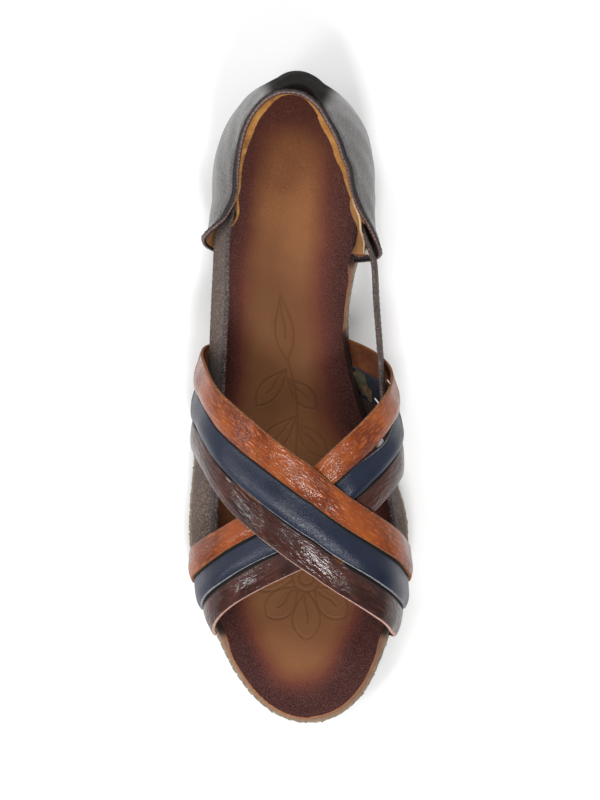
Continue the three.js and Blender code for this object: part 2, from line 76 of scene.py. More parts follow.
def table(names, *rows):
    return [dict(zip(names.split(), row)) for row in rows]


# ---- sizes of the shoe ----

LENGTH = 252.0
HEEL_ROUND, HEEL_POWER = 40.0, 2.15
TOE_ROUND, TOE_POWER = 60.0, 2.0
ROLL_WIDTH, ROLL_HEIGHT, ROLL_SHARE = 9.0, 7.0, 0.6
TOP_EDGE_RADIUS, TOP_EDGE_INSET = 1.6, 0.17
PAD_DEPTH = 2.4
SEAT_GAP = 0.3
INSOLE_INSET, INSOLE_THICK = 2.8, 3.0
RIM_INSET = 2.5
SIDE_SHARE = 0.68
FULLNESS = {1: 2.3, -1: 2.05}
RECESS = {"along": 93.0, "x": -5.0, "length": 12.8, "width": 23.0, "depth": 0.8, "corner": 1.6}

OUTLINE = table(
    "along centre half",
    (0, 1.0, 31.4), (40, 0.2, 31.3), (60, -1.3, 29.8), (76, -2.8, 27.0), (92, -4.1, 26.1),
    (106, -4.6, 27.4), (122, -4.0, 30.6), (138, -2.9, 34.9), (154, 0, 39.8), (168, 1.8, 42.7),
    (180, 2.3, 43.3), (192, 2.9, 42.0), (204, 3.6, 40.0), (214, 3.9, 38.1), (226, 4.4, 37.3),
    (236, 5.2, 37.4), (252, 6.2, 38.6),
)
PROFILE = table(
    "along under seat",
    (0, 2.4, 21.0), (30, 2.4, 20.0), (60, 2.4, 18.2), (78, 3.4, 16.6), (98, 4.4, 14.7),
    (118, 3.2, 13.0), (136, 1.0, 11.6), (150, 0, 10.6), (172, 0, 9.8), (194, 0, 9.9),
    (210, 0.7, 10.6), (230, 3.3, 12.8), (252, 8.0, 16.2),
)
LAST = table(
    "along ridge rise medial medialLift lateral lateralLift",
    (92, 2, 80, 34.5, 24, 32.0, 18), (104, 2, 73, 36.1, 24, 33.3, 18),
    (118, 3, 65, 36.8, 24, 34.9, 16), (134, 4.5, 57.5, 38.7, 22, 36.4, 14),
    (150, 6.5, 50.5, 40.4, 18, 37.6, 12), (166, 8, 44.5, 42.0, 14, 38.4, 10),
    (182, 8.5, 39, 43.6, 12, 38.4, 9), (198, 8.5, 34, 41.8, 10, 35.0, 8.5),
    (212, 8.5, 30, 38.9, 9, 30.0, 8), (226, 8.5, 27, 34.6, 8, 24.5, 7.5),
)
ROUTES = table(
    "across overStart overEnd underStart underEnd",
    (-1, 102, 139, 186, 215.8), (-0.68, 106, 143, 184, 215.5), (-0.45, 114.5, 152, 178, 208.5),
    (-0.22, 128.5, 173.5, 166, 198.3), (0, 147.5, 192.5, 151, 187.5), (0.22, 164, 204.5, 136, 172),
    (0.45, 176.5, 214, 122.5, 158.5), (0.68, 183, 217, 114, 150.5), (1, 185, 216.8, 100, 138),
)
COUNTER_FRONT = {1: (70.0, 65.0), -1: (66.0, 61.0)}  # along, of the front edge's foot and corner
COUNTER = table(
    "around height belly lean",
    (0, 22, 3.2, 7.6), (0.03, 26.5, 3.5, 3.1), (0.06, 31, 4.0, -1.8), (0.09, 36, 4.4, -5.4),
    (0.12, 41, 4.1, -7.7), (0.16, 45.5, 3.9, -9.1), (0.2, 49, 4.4, -10.7), (0.33, 54, 4.5, -10.5),
    (0.43, 55.5, 4.6, -7.3), (0.5, 56, 5.4, -4.6), (0.57, 55.5, 3.7, -4.0), (0.67, 54, 3.1, -5.5),
    (0.8, 49, 3.6, -7.7), (0.88, 41, 3.9, -7.9), (0.91, 36.3, 3.8, -7.4), (0.94, 31, 4.0, -5.2),
    (0.97, 26, 3.3, -1.7), (1, 21, 2.4, 4.6),
)
# The gores' rear ends run on between the counter's leather and its lining, further than in the CAD.
GORE_MEDIAL = table(
    "along lowX lowZ highX highZ bow",
    (54.5, 26.8, 14, 25.9, 24.5, 0), (57, 28.3, 12.5, 26.9, 25, 0), (61, 29.6, 12.2, 28.2, 26, 0),
    (66, 31.3, 12.5, 30.0, 27, 0), (72, 32.4, 12.6, 31.4, 27.3, 0), (85, 33.1, 13, 32.1, 28, 0),
    (104, 34.5, 14, 33.6, 29, 0), (122, 35.7, 13.5, 34.8, 30, 0), (136, 36.8, 10.5, 35.9, 30, 0.1),
    (150, 38.2, 4.2, 36.6, 28, 0.7), (160, 40.3, 0.4, 36.9, 25, 1.6), (168, 42.7, 0.4, 38.1, 23, 1.7),
    (178, 43.7, 0.4, 39.6, 20, 1.6), (188, 43.4, 0.4, 40.6, 16, 1.0),
)
GORE_LATERAL = table(
    "along lowX lowZ highX highZ bow",
    (47.5, -25.2, 15, -22.6, 25, 0), (52, -27.8, 13, -23.2, 25.5, 0), (56, -29.4, 12.5, -24.2, 26, 0),
    (61, -30.4, 12, -25.0, 26.3, 0), (72, -31.0, 12, -25.3, 26.2, 0), (85, -31.7, 11, -25.4, 25.5, 0),
    (104, -32.5, 9.5, -26.3, 24.5, 0.4), (122, -33.4, 6, -27.2, 24, 1.2), (140, -36.3, 0.6, -28.2, 24, 2.6),
    (158, -38.5, 0.4, -29.4, 23, 3.0), (176, -39.3, 0.4, -29.8, 20, 3.2), (190, -37.7, 0.4, -31.0, 15, 1.8),
)


def track(rows, column, key="along"):
    """Smooth curve through one column, with each row's slope taken across its neighbours."""
    at = np.array([row[key] for row in rows], float)
    value = np.array([row[column] for row in rows], float)
    slope = np.zeros(len(at))
    slope[1:-1] = (value[2:] - value[:-2]) / (at[2:] - at[:-2])
    slope[0] = (3 * (value[1] - value[0]) / (at[1] - at[0]) - slope[1]) / 2
    slope[-1] = (3 * (value[-1] - value[-2]) / (at[-1] - at[-2]) - slope[-2]) / 2

    def curve(place):
        t = np.clip(place, at[0], at[-1])
        i = np.clip(np.searchsorted(at, t, side="left") - 1, 0, len(at) - 2)
        span = at[i + 1] - at[i]
        u = (t - at[i]) / span
        start = (1 + 2 * u) * (1 - u) ** 2 * value[i] + u * (1 - u) ** 2 * span * slope[i]
        end = u * u * (3 - 2 * u) * value[i + 1] + u * u * (u - 1) * span * slope[i + 1]
        return start + end

    return curve


def tracks(rows, key="along"):
    return {name: track(rows, name, key) for name in rows[0] if name != key}


outline, profile, last = tracks(OUTLINE), tracks(PROFILE), tracks(LAST)
route, counter = tracks(ROUTES, "across"), tracks(COUNTER, "around")
seat = profile["seat"]


def under(along):
    return np.maximum(0, profile["under"](along))


def featherline(along):
    return seat(along) + SEAT_GAP


def smooth(value, low, high):
    t = np.clip((value - low) / (high - low), 0, 1)
    return t * t * (3 - 2 * t)


def between(value, rise_low, rise_high, fall_low, fall_high):
    """1 between a rise and a fall, 0 before and after them."""
    return smooth(value, rise_low, rise_high) * (1 - smooth(value, fall_low, fall_high))


def bell(value, middle, width):
    return np.exp(-(((value - middle) / width) ** 2))


def end_round(distance, length, power):
    share = np.clip(1 - distance / length, 0, 1)
    return (1 - share**power) ** (1 / power)


def edge_x(along, side):
    ends = end_round(along, HEEL_ROUND, HEEL_POWER) * end_round(LENGTH - along, TOE_ROUND, TOE_POWER)
    return outline["centre"](along) + side * outline["half"](along) * ends


# ---- place in the frame: the CAD sole's box gives the shift from the shoe's own axes ----

_, SOLE_HIGH = (Vector(corner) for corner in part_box("outsole"))
SHIFT_X = SOLE_HIGH.x / MM - edge_x(np.linspace(0, LENGTH, 2001), 1).max()
SHIFT_Y = SOLE_HIGH.y / MM


def points(x, along, z):
    return np.stack(np.broadcast_arrays(x, along, z), axis=-1).astype(float)


def world(spots):
    """Frame coordinates in metres of an array of (x, along, z)."""
    return np.stack([spots[..., 0] + SHIFT_X, SHIFT_Y - spots[..., 1], spots[..., 2]], axis=-1) * MM


def unit(vectors):
    return vectors / np.maximum(np.linalg.norm(vectors, axis=-1, keepdims=True), 1e-12)


def distances(spots):
    """Running length along a line of points."""
    return np.concatenate([[0], np.cumsum(np.linalg.norm(np.diff(spots, axis=0), axis=1))])


# ---- mesh making ----


def strip(run, across):
    """Texture places of a strip: millimetres along it and across it."""
    return np.stack(np.broadcast_arrays(run, across), axis=-1)


def make(name, form, materials, slots=None, uv=None, values=None, smoothed=True, merge=0.0):
    """Object from a form's points and faces. uv, in mm, and values repeat until every point has its own."""
    spots, faces = form[:2]
    mesh = bpy.data.meshes.new(name)
    mesh.from_pydata(world(spots).tolist(), [], [list(map(int, f)) for f in faces])
    for material in materials:
        mesh.materials.append(material)
    if slots is not None:
        mesh.polygons.foreach_set("material_index", np.asarray(slots, np.int32))
    if uv is not None:
        corners = np.empty(len(mesh.loops), np.int32)
        mesh.loops.foreach_get("vertex_index", corners)
        uv = np.resize(uv * MM, (len(spots), 2)).astype(np.float32)
        mesh.uv_layers.new(name="run").data.foreach_set("uv", uv[corners].ravel())
    for key, data in (values or {}).items():
        attribute = mesh.attributes.new(key, "FLOAT", "POINT")
        attribute.data.foreach_set("value", np.resize(data, len(spots)).astype(np.float32))
    mesh.polygons.foreach_set("use_smooth", np.full(len(mesh.polygons), smoothed))
    obj = bpy.data.objects.new(name, mesh)
    bpy.context.scene.collection.objects.link(obj)
    tidy(mesh, merge)
    return obj


def tidy(mesh, merge):
    """Turns the faces outwards, once what lies within merge of each other is joined."""
    work = bmesh.new()
    work.from_mesh(mesh)
    if merge:
        bmesh.ops.remove_doubles(work, verts=work.verts, dist=merge * MM)
        bmesh.ops.dissolve_degenerate(work, edges=work.edges, dist=merge * MM)
    bmesh.ops.recalc_face_normals(work, faces=work.faces)
    work.to_mesh(mesh)
    work.free()
    mesh.update()


def sharpen(obj, degrees):
    """Keeps edges steeper than this crisp in the shading."""
    work = bmesh.new()
    work.from_mesh(obj.data)
    for edge in work.edges:
        edge.smooth = len(edge.link_faces) == 2 and edge.calc_face_angle(0) < math.radians(degrees)
    work.to_mesh(obj.data)
    work.free()


def loft(loops, closed_ends=True):
    """Points, faces and each face's place in the loop, for a list of loops of one size."""
    rows, size = loops.shape[:2]
    i, j = np.meshgrid(np.arange(rows - 1), np.arange(size), indexing="ij")
    a, b = i * size + j, i * size + (j + 1) % size
    faces = np.stack([a, b, b + size, a + size], axis=-1).reshape(-1, 4).tolist()
    places = j.ravel().tolist()
    if closed_ends:
        faces += [list(range(size))[::-1], list(range((rows - 1) * size, rows * size))]
        places += [-1, -1]
    return loops.reshape(-1, 3), faces, places


def sheet_grid(front, back):
    """Closed thin shell between two grids of points: spots, faces and kinds (0 front, 1 back, 2 rim)."""
    rows, columns = front.shape[:2]
    shift = rows * columns
    index = np.arange(shift).reshape(rows, columns)
    a = index[:-1, :-1].ravel()
    quads = np.stack([a, a + 1, a + columns + 1, a + columns], axis=-1)
    border = [*index[0, :-1], *index[:-1, -1], *index[-1, :0:-1], *index[:0:-1, 0]]
    rim = [[b, a, a + shift, b + shift] for a, b in zip(border, border[1:] + border[:1])]
    kinds = [0] * len(quads) + [1] * len(quads) + [2] * len(rim)
    spots = np.concatenate([front.reshape(-1, 3), back.reshape(-1, 3)])
    return spots, quads.tolist() + (quads[:, ::-1] + shift).tolist() + rim, kinds


def joined(parts):
    spots, faces, shift = [], [], 0
    for part_spots, part_faces, *_ in parts:
        spots.append(part_spots)
        faces += [[v + shift for v in face] for face in part_faces]
        shift += len(part_spots)
    return np.concatenate(spots), faces


def cut(obj, tool):
    """Cuts a closed tool object out of a closed object, and removes the tool."""
    modifier = obj.modifiers.new("cut", "BOOLEAN")
    modifier.operation, modifier.solver, modifier.object = "DIFFERENCE", "EXACT", tool
    bpy.context.view_layer.update()
    result = bpy.data.meshes.new_from_object(obj.evaluated_get(bpy.context.evaluated_depsgraph_get()))
    obj.modifiers.clear()
    old, obj.data = obj.data, result
    bpy.data.meshes.remove(old)
    bpy.data.objects.remove(tool)


def trim(obj):
    """Declares a piece that the CAD has no node for."""
    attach(obj, "root")


def piece(obj, node):
    """Declares a piece that takes a CAD node's place."""
    trim(obj)
    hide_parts(node)


# ---- materials ----


class Value:
    """What a shader node gives out, which can be added, subtracted and multiplied."""

    def __init__(self, shader, socket):
        self.shader, self.socket = shader, socket

    def __add__(self, other):
        return self.shader.math("ADD", self, other)

    def __sub__(self, other):
        return self.shader.math("SUBTRACT", self, other)

    def __rsub__(self, other):
        return self.shader.math("SUBTRACT", other, self)

    def __mul__(self, other):
        return self.shader.math("MULTIPLY", self, other)


class Shader:
    """A Principled material whose texture coordinates are in millimetres."""

    def __init__(self, name, color, rough, **sockets):
        self.material = bpy.data.materials.new(name)
        self.material.use_nodes = True
        self.tree = self.material.node_tree
        self.bsdf = next(n for n in self.tree.nodes if n.type == "BSDF_PRINCIPLED")
        self.material.diffuse_color = (*color, 1)
        for key, value in {"Base_Color": (*color, 1), "Roughness": rough, **sockets}.items():
            self.feed(self.bsdf.inputs[key.replace("_", " ")], value)
        self.spot = self.node("TexCoord", "Object") * ((1000,) * 3)

    def feed(self, socket, value):
        if isinstance(value, Value):
            self.tree.links.new(value.socket, socket)
        else:
            socket.default_value = value

    def node(self, kind, output, inputs=None, **settings):
        made = self.tree.nodes.new("ShaderNode" + kind)
        for key, value in settings.items():
            setattr(made, key, value)
        for key, value in (inputs or {}).items():
            self.feed(made.inputs[key], value)
        return Value(self, made.outputs[output])

    def math(self, operation, a, b=0.0, **settings):
        vector = isinstance(a, Value) and a.socket.type != "VALUE"
        return self.node("VectorMath" if vector else "Math", 0, {0: a, 1: b}, operation=operation, **settings)

    def run(self):
        """Millimetres along and across a strip, from its uv layer."""
        return self.node("UVMap", 0, uv_map="run") * ((1000,) * 3)

    def noise(self, pitch, detail=3.0, rough=0.55, vector=None, distortion=0.0, output="Fac"):
        inputs = {"Scale": 1 / pitch, "Detail": detail, "Roughness": rough, "Distortion": distortion}
        return self.node("TexNoise", output, {"Vector": vector or self.spot, **inputs})

    def wobbled(self, pitch, amount, vector=None):
        """Coordinates pushed about by a noise, amount in millimetres."""
        vector = vector or self.spot
        push = self.noise(pitch, 2.0, 0.5, vector, output="Color") + (-0.5, -0.5, -0.5)
        return vector + push * ((2 * amount,) * 3)

    def cells(self, pitch, feature="F1", vector=None, **inputs):
        inputs = {"Vector": vector or self.spot, "Scale": 1 / pitch, **inputs}
        return self.node("TexVoronoi", "Distance", inputs, feature=feature)

    def span(self, value, low, high, out_low=0.0, out_high=1.0, easing="SMOOTHSTEP"):
        """Value from low..high eased to out_low..out_high."""
        inputs = {"Value": value, "From Min": low, "From Max": high, "To Min": out_low, "To Max": out_high}
        return self.node("MapRange", "Result", inputs, interpolation_type=easing)

    def mix(self, share, a, b, blend="MIX"):
        a, b = ((*c, 1) if isinstance(c, tuple) else c for c in (a, b))
        return self.node("Mix", 2, {"Factor": share, 6: a, 7: b}, data_type="RGBA", blend_type=blend)

    def layers(self, tone, *coats):
        """Tone with coats over it, each a share and a colour."""
        for share, color in coats:
            tone = self.mix(share, tone, color)
        return tone

    def value(self, name):
        return self.node("Attribute", "Fac", attribute_name=name)

    def axis(self, name, vector=None):
        return self.node("SeparateXYZ", name, {0: vector or self.spot})

    def crowned(self, crown, lean):
        """Drop towards both sides of a strip: crown mm at 6 mm from its middle, less lean towards the toe."""
        side = self.math("DIVIDE", self.axis("Y", self.run()), 6.0)
        return self.math("POWER", self.math("ABSOLUTE", side), 2.0) * crown - side * lean

    def matted(self, rough, gloss):
        """Roughness of a strap, nearly matt down its sides and where the next strap covers it."""
        matt = self.math("MAXIMUM", self.value("dull"), self.value("strap_shadow"))
        return self.math("ADD", rough, matt * (0.9 - gloss), use_clamp=True)

    def bump(self, height, distance):
        """Bump of a height in millimetres."""
        return self.node("Bump", "Normal", {"Strength": 1.0, "Distance": distance * MM, "Height": height})

    def finish(self, color, rough=None, normal=None):
        for key, value in (("Base Color", color), ("Roughness", rough), ("Normal", normal)):
            if value is not None:
                self.feed(self.bsdf.inputs[key], value)
        return self.material


def crinkled_leather(name, deep, body, lit, gloss, crease, cell, stretch, crown, depth, level,
                     lean=0.0, seed=0.0):
    """Crinkled glossy leather: uneven pillows between sharp creases, drawn out along the strip, with painted
    shade in the creases.
    """
    s = Shader(name, body, gloss, Specular_IOR_Level=level)
    run = s.run() + (seed, seed * 0.7, 0)
    slanted = run * (stretch, 1.0, 1.0)
    loose = s.wobbled(cell * 1.6, cell * 0.75, slanted)
    pillows = s.span(s.cells(cell, "DISTANCE_TO_EDGE", loose), 0.0, 0.40)
    ridges = s.math("ABSOLUTE", s.noise(cell * 1.3, 3, 0.55, loose, distortion=0.5) - 0.5)
    ridges = s.span(ridges, 0.0, 0.14)
    fine = s.cells(0.8, "F1", s.wobbled(1.0, 0.3, run))
    patches = s.noise(6.0, 2, 0.6, slanted)
    # Painted shade in the creases, deeper in slow patches.
    crease_shade = s.span(s.noise(20.0, 2, 0.5, run), 0.40, 0.62, 0.4 * depth, depth)
    crease_shade = s.math("POWER", 1.0 - pillows * ridges, 3.0) * crease_shade
    # The last coat is painted shadow, on the strip just toe-ward of the edge of the strap that lies over this
    # one.
    tone = s.layers(body, (s.span(s.noise(11.0, 3, 0.6, run), 0.32, 0.70), lit), (crease_shade, deep),
                    (s.value("strap_shadow"), (0.002, 0.0015, 0.0015)))
    height = (pillows * (0.5 * crease) + ridges * (0.5 * crease)) * s.span(patches, 0.32, 0.62, 0.55, 1.0)
    height = height + fine * (-0.05 * crease) - s.crowned(crown, lean)
    rough = s.span(patches, 0.25, 0.75, gloss + 0.06, gloss - 0.05)
    return s.finish(tone, s.matted(rough, gloss), s.bump(height, 1.0))


def smooth_leather(name, deep, body, lit, gloss, grain=0.10, level=0.5, crown=0.0, lean=0.0):
    s = Shader(name, body, gloss, Specular_IOR_Level=level)
    run = s.run()
    pores = s.cells(0.42, "F1", s.wobbled(1.4, 0.25, run))
    waves = s.noise(7.0, 2, 0.5, run * (0.5, 1, 1))
    # Painted glints: sparse lighter specks that stand in for the sparkle of the grain.
    painted_glints = s.span(s.noise(0.8, 1, 0.5, run), 0.72, 0.78) * 0.45
    # The last coat is painted shadow, on the strip just toe-ward of the edge of the strap that lies over this
    # one.
    tone = s.layers(deep, (s.span(s.noise(14.0, 3, 0.55, run), 0.3, 0.7), body),
                    (s.span(waves, 0.55, 0.85, 0, 0.6), lit), (painted_glints, tuple(3 * c for c in lit)),
                    (s.span(pores, 0.35, 0.70, 0, 0.5), deep), (s.value("strap_shadow"), (0.0015, 0.0015, 0.002)))
    height = pores * -grain + waves * 0.05 - s.crowned(crown, lean)
    rough = s.span(s.noise(5.0, 2, 0.5, run), 0.3, 0.7, gloss - 0.01, gloss + 0.04)
    return s.finish(tone, s.matted(rough, gloss), s.bump(height, 0.8))


def cut_edge(name, pale, dark):
    """Raw edge of leather: pale fibres with darker flecks, and painted shade where the upper covers it."""
    s = Shader(name, pale, 0.8, Specular_IOR_Level=0.2)
    fibres = s.noise(0.5, 4, 0.7)
    flecks = s.span(s.noise(4.0, 2, 0.5), 0.55, 0.8, 0, 0.6)
    tone = s.layers(dark, (s.span(fibres, 0.35, 0.7), pale), (flecks, dark),
                    (s.value("inside"), (0.030, 0.011, 0.009)))
    return s.finish(tone, None, s.bump(fibres, 0.25))


def rubber(name, shade=1.0):
    """Taupe rubber, khaki round the rim, rubbed pinkish just under the footbed, and painted shade where the
    upper covers it.
    """
    s = Shader(name, (0.12, 0.105, 0.09), 0.62, Specular_IOR_Level=0.3)
    dust = s.noise(2.0, 4, 0.7)
    dark = tuple(shade * c for c in (0.088, 0.080, 0.069))
    light = tuple(shade * c for c in (0.120, 0.109, 0.093))
    khaki = s.mix(s.span(dust, 0.35, 0.70), (0.125, 0.095, 0.056), (0.29, 0.235, 0.145))
    tone = s.layers(dark, (s.span(s.noise(26.0), 0.3, 0.7), light), (s.value("rim"), khaki),
                    (s.value("welt") * 0.75, (0.27, 0.145, 0.105)),
                    (s.value("inside"), (0.022, 0.010, 0.008)),
                    (s.span(dust, 0.55, 0.85, 0, 0.3), (0.24, 0.215, 0.18)))
    return s.finish(tone, s.span(dust, 0.3, 0.75, 0.50, 0.70), s.bump(s.noise(0.35, 3, 0.6), 0.08))


def insole_leather():
    """Burnished footbed: tan in the middle, maroon-brown at the edge, finely grained, with painted glints
    over the border and painted light where pale is set.
    """
    s = Shader("insole_leather", (0.18, 0.07, 0.03), 0.5, Specular_IOR_Level=0.08)
    shade, pale = s.value("burnish"), s.value("pale")
    wander, grain = s.noise(12.0, 4, 0.6), s.noise(0.6, 3, 0.65)
    ragged = shade
    for noise, amount in ((wander, 0.22), (s.noise(3.5, 3, 0.65), 0.12), (grain, 0.30)):
        ragged = ragged + (noise - 0.5) * amount
    tan = s.mix(s.span(s.noise(24.0, 2, 0.5), 0.35, 0.65), (0.190, 0.080, 0.033), (0.162, 0.067, 0.028))
    # Painted light: where pale is set, at the heel and in the lateral opening, the tan and maroon are
    # lightened against the shade of the counter and straps.
    tan = s.mix(pale, tan, (1.85, 1.85, 1.82), "MULTIPLY")
    tan = s.mix(s.span(s.noise(0.5, 2, 0.6), 0.35, 0.65, 0, 0.65) * pale, tan, (0.66, 0.60, 0.58), "MULTIPLY")
    maroon = s.mix(pale, (0.029, 0.0095, 0.0092), (0.047, 0.0185, 0.0170))
    # Painted glints: lighter flecks over the dark border, more of them where pale is set.
    glint_flecks = s.span(s.noise(0.42, 1, 0.5), 0.46, 0.66) * s.span(shade, 0.15, 0.7, 0.05, 0.46)
    glint_flecks = glint_flecks * s.span(pale, 0.0, 1.0, 1.0, 2.0, "LINEAR")
    tone = s.layers(tan, (s.span(ragged, 0.0, 0.60, easing="LINEAR"), (0.122, 0.031, 0.019)),
                    (s.span(ragged, 0.45, 1.05, easing="LINEAR"), maroon), (glint_flecks, (0.135, 0.062, 0.052)),
                    (s.value("groove") * 0.30, (0.055, 0.018, 0.008)))
    height = grain * 0.14 + s.cells(0.62) * -0.10
    return s.finish(tone, s.span(wander, 0.3, 0.7, 0.42, 0.55), s.bump(height, 0.6))


def counter_leather():
    """Dark brown leather with a silky sheen; painted shade makes it nearly black round the back and just
    under the folded edge, and it is dull there.
    """
    s = Shader("counter_leather", (0.04, 0.03, 0.028), 0.6, Coat_Roughness=0.30, Specular_IOR_Level=0.06)
    run, dark = s.run(), s.value("dark")
    wrinkles = s.noise(2.6, 4, 0.62, run * (1.0, 0.36, 1), distortion=0.8)
    pebbles = s.cells(0.85, "SMOOTH_F1", s.wobbled(1.5, 0.4, run), Smoothness=0.4)
    # The last coat is painted shade where dark is set: round the back and just under the folded edge.
    tone = s.layers((0.036, 0.030, 0.027),
                    (s.span(s.noise(18.0, 3, 0.5, run), 0.3, 0.7), (0.052, 0.046, 0.041)),
                    (s.span(wrinkles, 0.45, 0.72, 0, 0.6), (0.022, 0.017, 0.015)),
                    (s.span(pebbles, 0.35, 0.75, 0, 0.5), (0.012, 0.009, 0.008)),
                    (dark, (0.0075, 0.0040, 0.0036)))
    relief = s.bump(wrinkles + pebbles * -0.34, 0.5)
    s.feed(s.bsdf.inputs["Coat Weight"], s.span(dark, 0.0, 0.85, 0.85, 0.0))
    s.feed(s.bsdf.inputs["Coat Normal"], relief)
    return s.finish(tone, s.span(wrinkles, 0.3, 0.7, 0.50, 0.60) + dark * 0.3, relief)


def edge_leather():
    """Folded edge: dark red-brown leather with paler random wear, and painted shade down both sides of the
    fold, so that its top reads paler.
    """
    s = Shader("edge_leather", (0.06, 0.03, 0.025), 0.4, Specular_IOR_Level=0.4)
    dark, wear = s.value("dark"), s.noise(1.1, 4, 0.65, s.run() * (0.6, 1, 1))
    tone = s.layers((0.040, 0.017, 0.015), (s.span(wear, 0.35, 0.65), (0.115, 0.066, 0.060)),
                    (dark, (0.006, 0.0022, 0.0022)))
    return s.finish(tone, s.span(dark, 0, 1, 0.40, 0.65), s.bump(wear, 0.35))


def suede(name, light, deep, stain=None):
    s = Shader(name, light, 0.95, Sheen_Weight=0.08, Sheen_Roughness=0.5, Specular_IOR_Level=0.15)
    nap = s.noise(0.5, 4, 0.7)
    tone = s.layers(deep, (s.span(s.noise(4.5, 3, 0.6), 0.3, 0.7), light),
                    (s.span(nap, 0.5, 0.75, 0, 0.5), tuple(0.5 * c for c in deep)))
    if stain:
        tone = s.mix(s.span(s.noise(6.0, 4, 0.65), 0.52, 0.66, 0, 0.75), tone, stain)
    return s.finish(tone, None, s.bump(nap, 0.5))


def knit(name):
    """Elastic webbing: mottled slanted knit of light and dark yarns, with a dark bluish band of painted shade
    under its top edge.
    """
    s = Shader(name, (0.12, 0.1, 0.09), 0.9, Sheen_Weight=0.1, Sheen_Roughness=0.5, Specular_IOR_Level=0.1)
    run = s.run()
    across = s.axis("Y", run)
    ribs = s.math("SINE", (s.axis("X", run) + across * 0.62) * (TURN / 1.3))
    stitch = (ribs + 1.0) * (s.math("SINE", across * (TURN / 0.85)) + 1.2)
    loops = s.cells(0.62, "F1", s.wobbled(0.9, 0.3))
    tone = s.layers((0.056, 0.034, 0.027), (s.span(s.noise(0.75, 3, 0.7), 0.38, 0.60), (0.29, 0.193, 0.148)),
                    (s.span(loops, 0.30, 0.62, 0.0, 0.75), (0.040, 0.029, 0.026)),
                    (s.span(stitch, 0.1, 1.6, 0.45, 0.0), (0.050, 0.037, 0.033)),
                    (s.value("selvedge_shade") * 0.75, (0.030, 0.034, 0.048)),
                    (s.span(s.noise(6.0, 3, 0.6), 0.5, 0.9, 0, 0.25), (0.26, 0.21, 0.18)))
    return s.finish(tone, None, s.bump(stitch * 0.10 + loops * -0.35, 0.8))


def thread(name, light, deep):
    s = Shader(name, light, 0.6)
    twist = s.math("SINE", (s.axis("X") + s.axis("Y")) * (TURN / 0.45))
    return s.finish(s.mix(s.span(twist, -0.6, 0.8), deep, light), None, s.bump(twist, 0.06))


def floor_material():
    s = Shader("floor", (0.9, 0.9, 0.9), 0.8, Specular_IOR_Level=0.1)
    return s.finish(s.mix(s.noise(400.0, 2, 0.5), (0.90, 0.90, 0.90), (0.925, 0.925, 0.925)))


TAN = crinkled_leather("tan_leather", (0.085, 0.014, 0.003), (0.255, 0.050, 0.008), (0.315, 0.078, 0.012),
                       0.18, 0.22, cell=1.5, stretch=0.30, crown=0.40, depth=0.9, level=0.28, lean=0.25)
BROWN = crinkled_leather("brown_leather", (0.010, 0.0035, 0.003), (0.046, 0.0130, 0.009),
                         (0.062, 0.0175, 0.0115), 0.19, 0.19, cell=2.0, stretch=0.24, crown=0.50, depth=0.75,
                         level=0.30, seed=40.0)
NAVY = smooth_leather("navy_leather", (0.0022, 0.0056, 0.0185), (0.0036, 0.0090, 0.0295),
                      (0.0055, 0.0130, 0.041), 0.29, grain=0.08, level=0.36, crown=0.24, lean=0.78)
EDGE_PALE = cut_edge("edge_pale", (0.62, 0.42, 0.36), (0.30, 0.15, 0.11))
EDGE_CREAM = cut_edge("edge_cream", (0.66, 0.52, 0.36), (0.42, 0.25, 0.12))
EDGE_DARK = cut_edge("edge_dark", (0.13, 0.10, 0.10), (0.02, 0.017, 0.02))
EDGE_GREY = cut_edge("edge_grey", (0.48, 0.46, 0.47), (0.06, 0.06, 0.075))
EDGE_TAN = cut_edge("edge_tan", (0.36, 0.16, 0.07), (0.10, 0.03, 0.012))
RUBBER = rubber("sole_rubber")
RECESS_RUBBER = rubber("recess_rubber", 0.55)
INSOLE = insole_leather()
INSOLE_EDGE = cut_edge("insole_edge", (0.37, 0.175, 0.08), (0.17, 0.065, 0.03))
COUNTER_LEATHER = counter_leather()
TAB_LEATHER = smooth_leather("tab_leather", (0.004, 0.0028, 0.0025), (0.0075, 0.0045, 0.004),
                             (0.012, 0.007, 0.006), 0.75, level=0.05)
EDGE_LEATHER = edge_leather()
OCHRE = suede("ochre_suede", (0.42, 0.200, 0.056), (0.31, 0.128, 0.030), stain=(0.19, 0.078, 0.020))
RUSSET = suede("russet_suede", (0.27, 0.078, 0.024), (0.17, 0.044, 0.014), stain=(0.10, 0.060, 0.026))
SLATE = suede("slate_suede", (0.020, 0.026, 0.042), (0.010, 0.012, 0.022))
KHAKI = suede("khaki_suede", (0.115, 0.095, 0.052), (0.062, 0.054, 0.034), stain=(0.30, 0.165, 0.055))
ASH = suede("ash_suede", (0.075, 0.062, 0.058), (0.035, 0.028, 0.026))
UMBER = suede("umber_suede", (0.050, 0.024, 0.017), (0.022, 0.010, 0.008))
KNIT = knit("gore_knit")
THREAD = thread("collar_thread", (0.33, 0.24, 0.22), (0.12, 0.07, 0.065))
FRAY = thread("frayed_thread", (0.78, 0.73, 0.69), (0.50, 0.45, 0.42))

# ---- sole ----


def stations(end_rows=46, middle=2.4, fine=None):
    """Distances forward from heel to toe, close together at the round ends and between fine's two limits."""
    turn = np.linspace(0, np.pi / 2, end_rows + 1)
    heel = 45 * (1 - np.cos(turn))
    toe = LENGTH - 30 * (1 - np.cos(turn))[::-1]
    bands = [(heel[-1], toe[0], middle)]
    if fine:
        low, high, pitch = fine
        bands = [(heel[-1], low, middle), (low, high, pitch), (high, toe[0], middle)]
    runs = [np.linspace(start, end, max(1, round((end - start) / pitch)), endpoint=False)
            for start, end, pitch in bands]
    return np.concatenate([heel[:-1], *runs, toe])


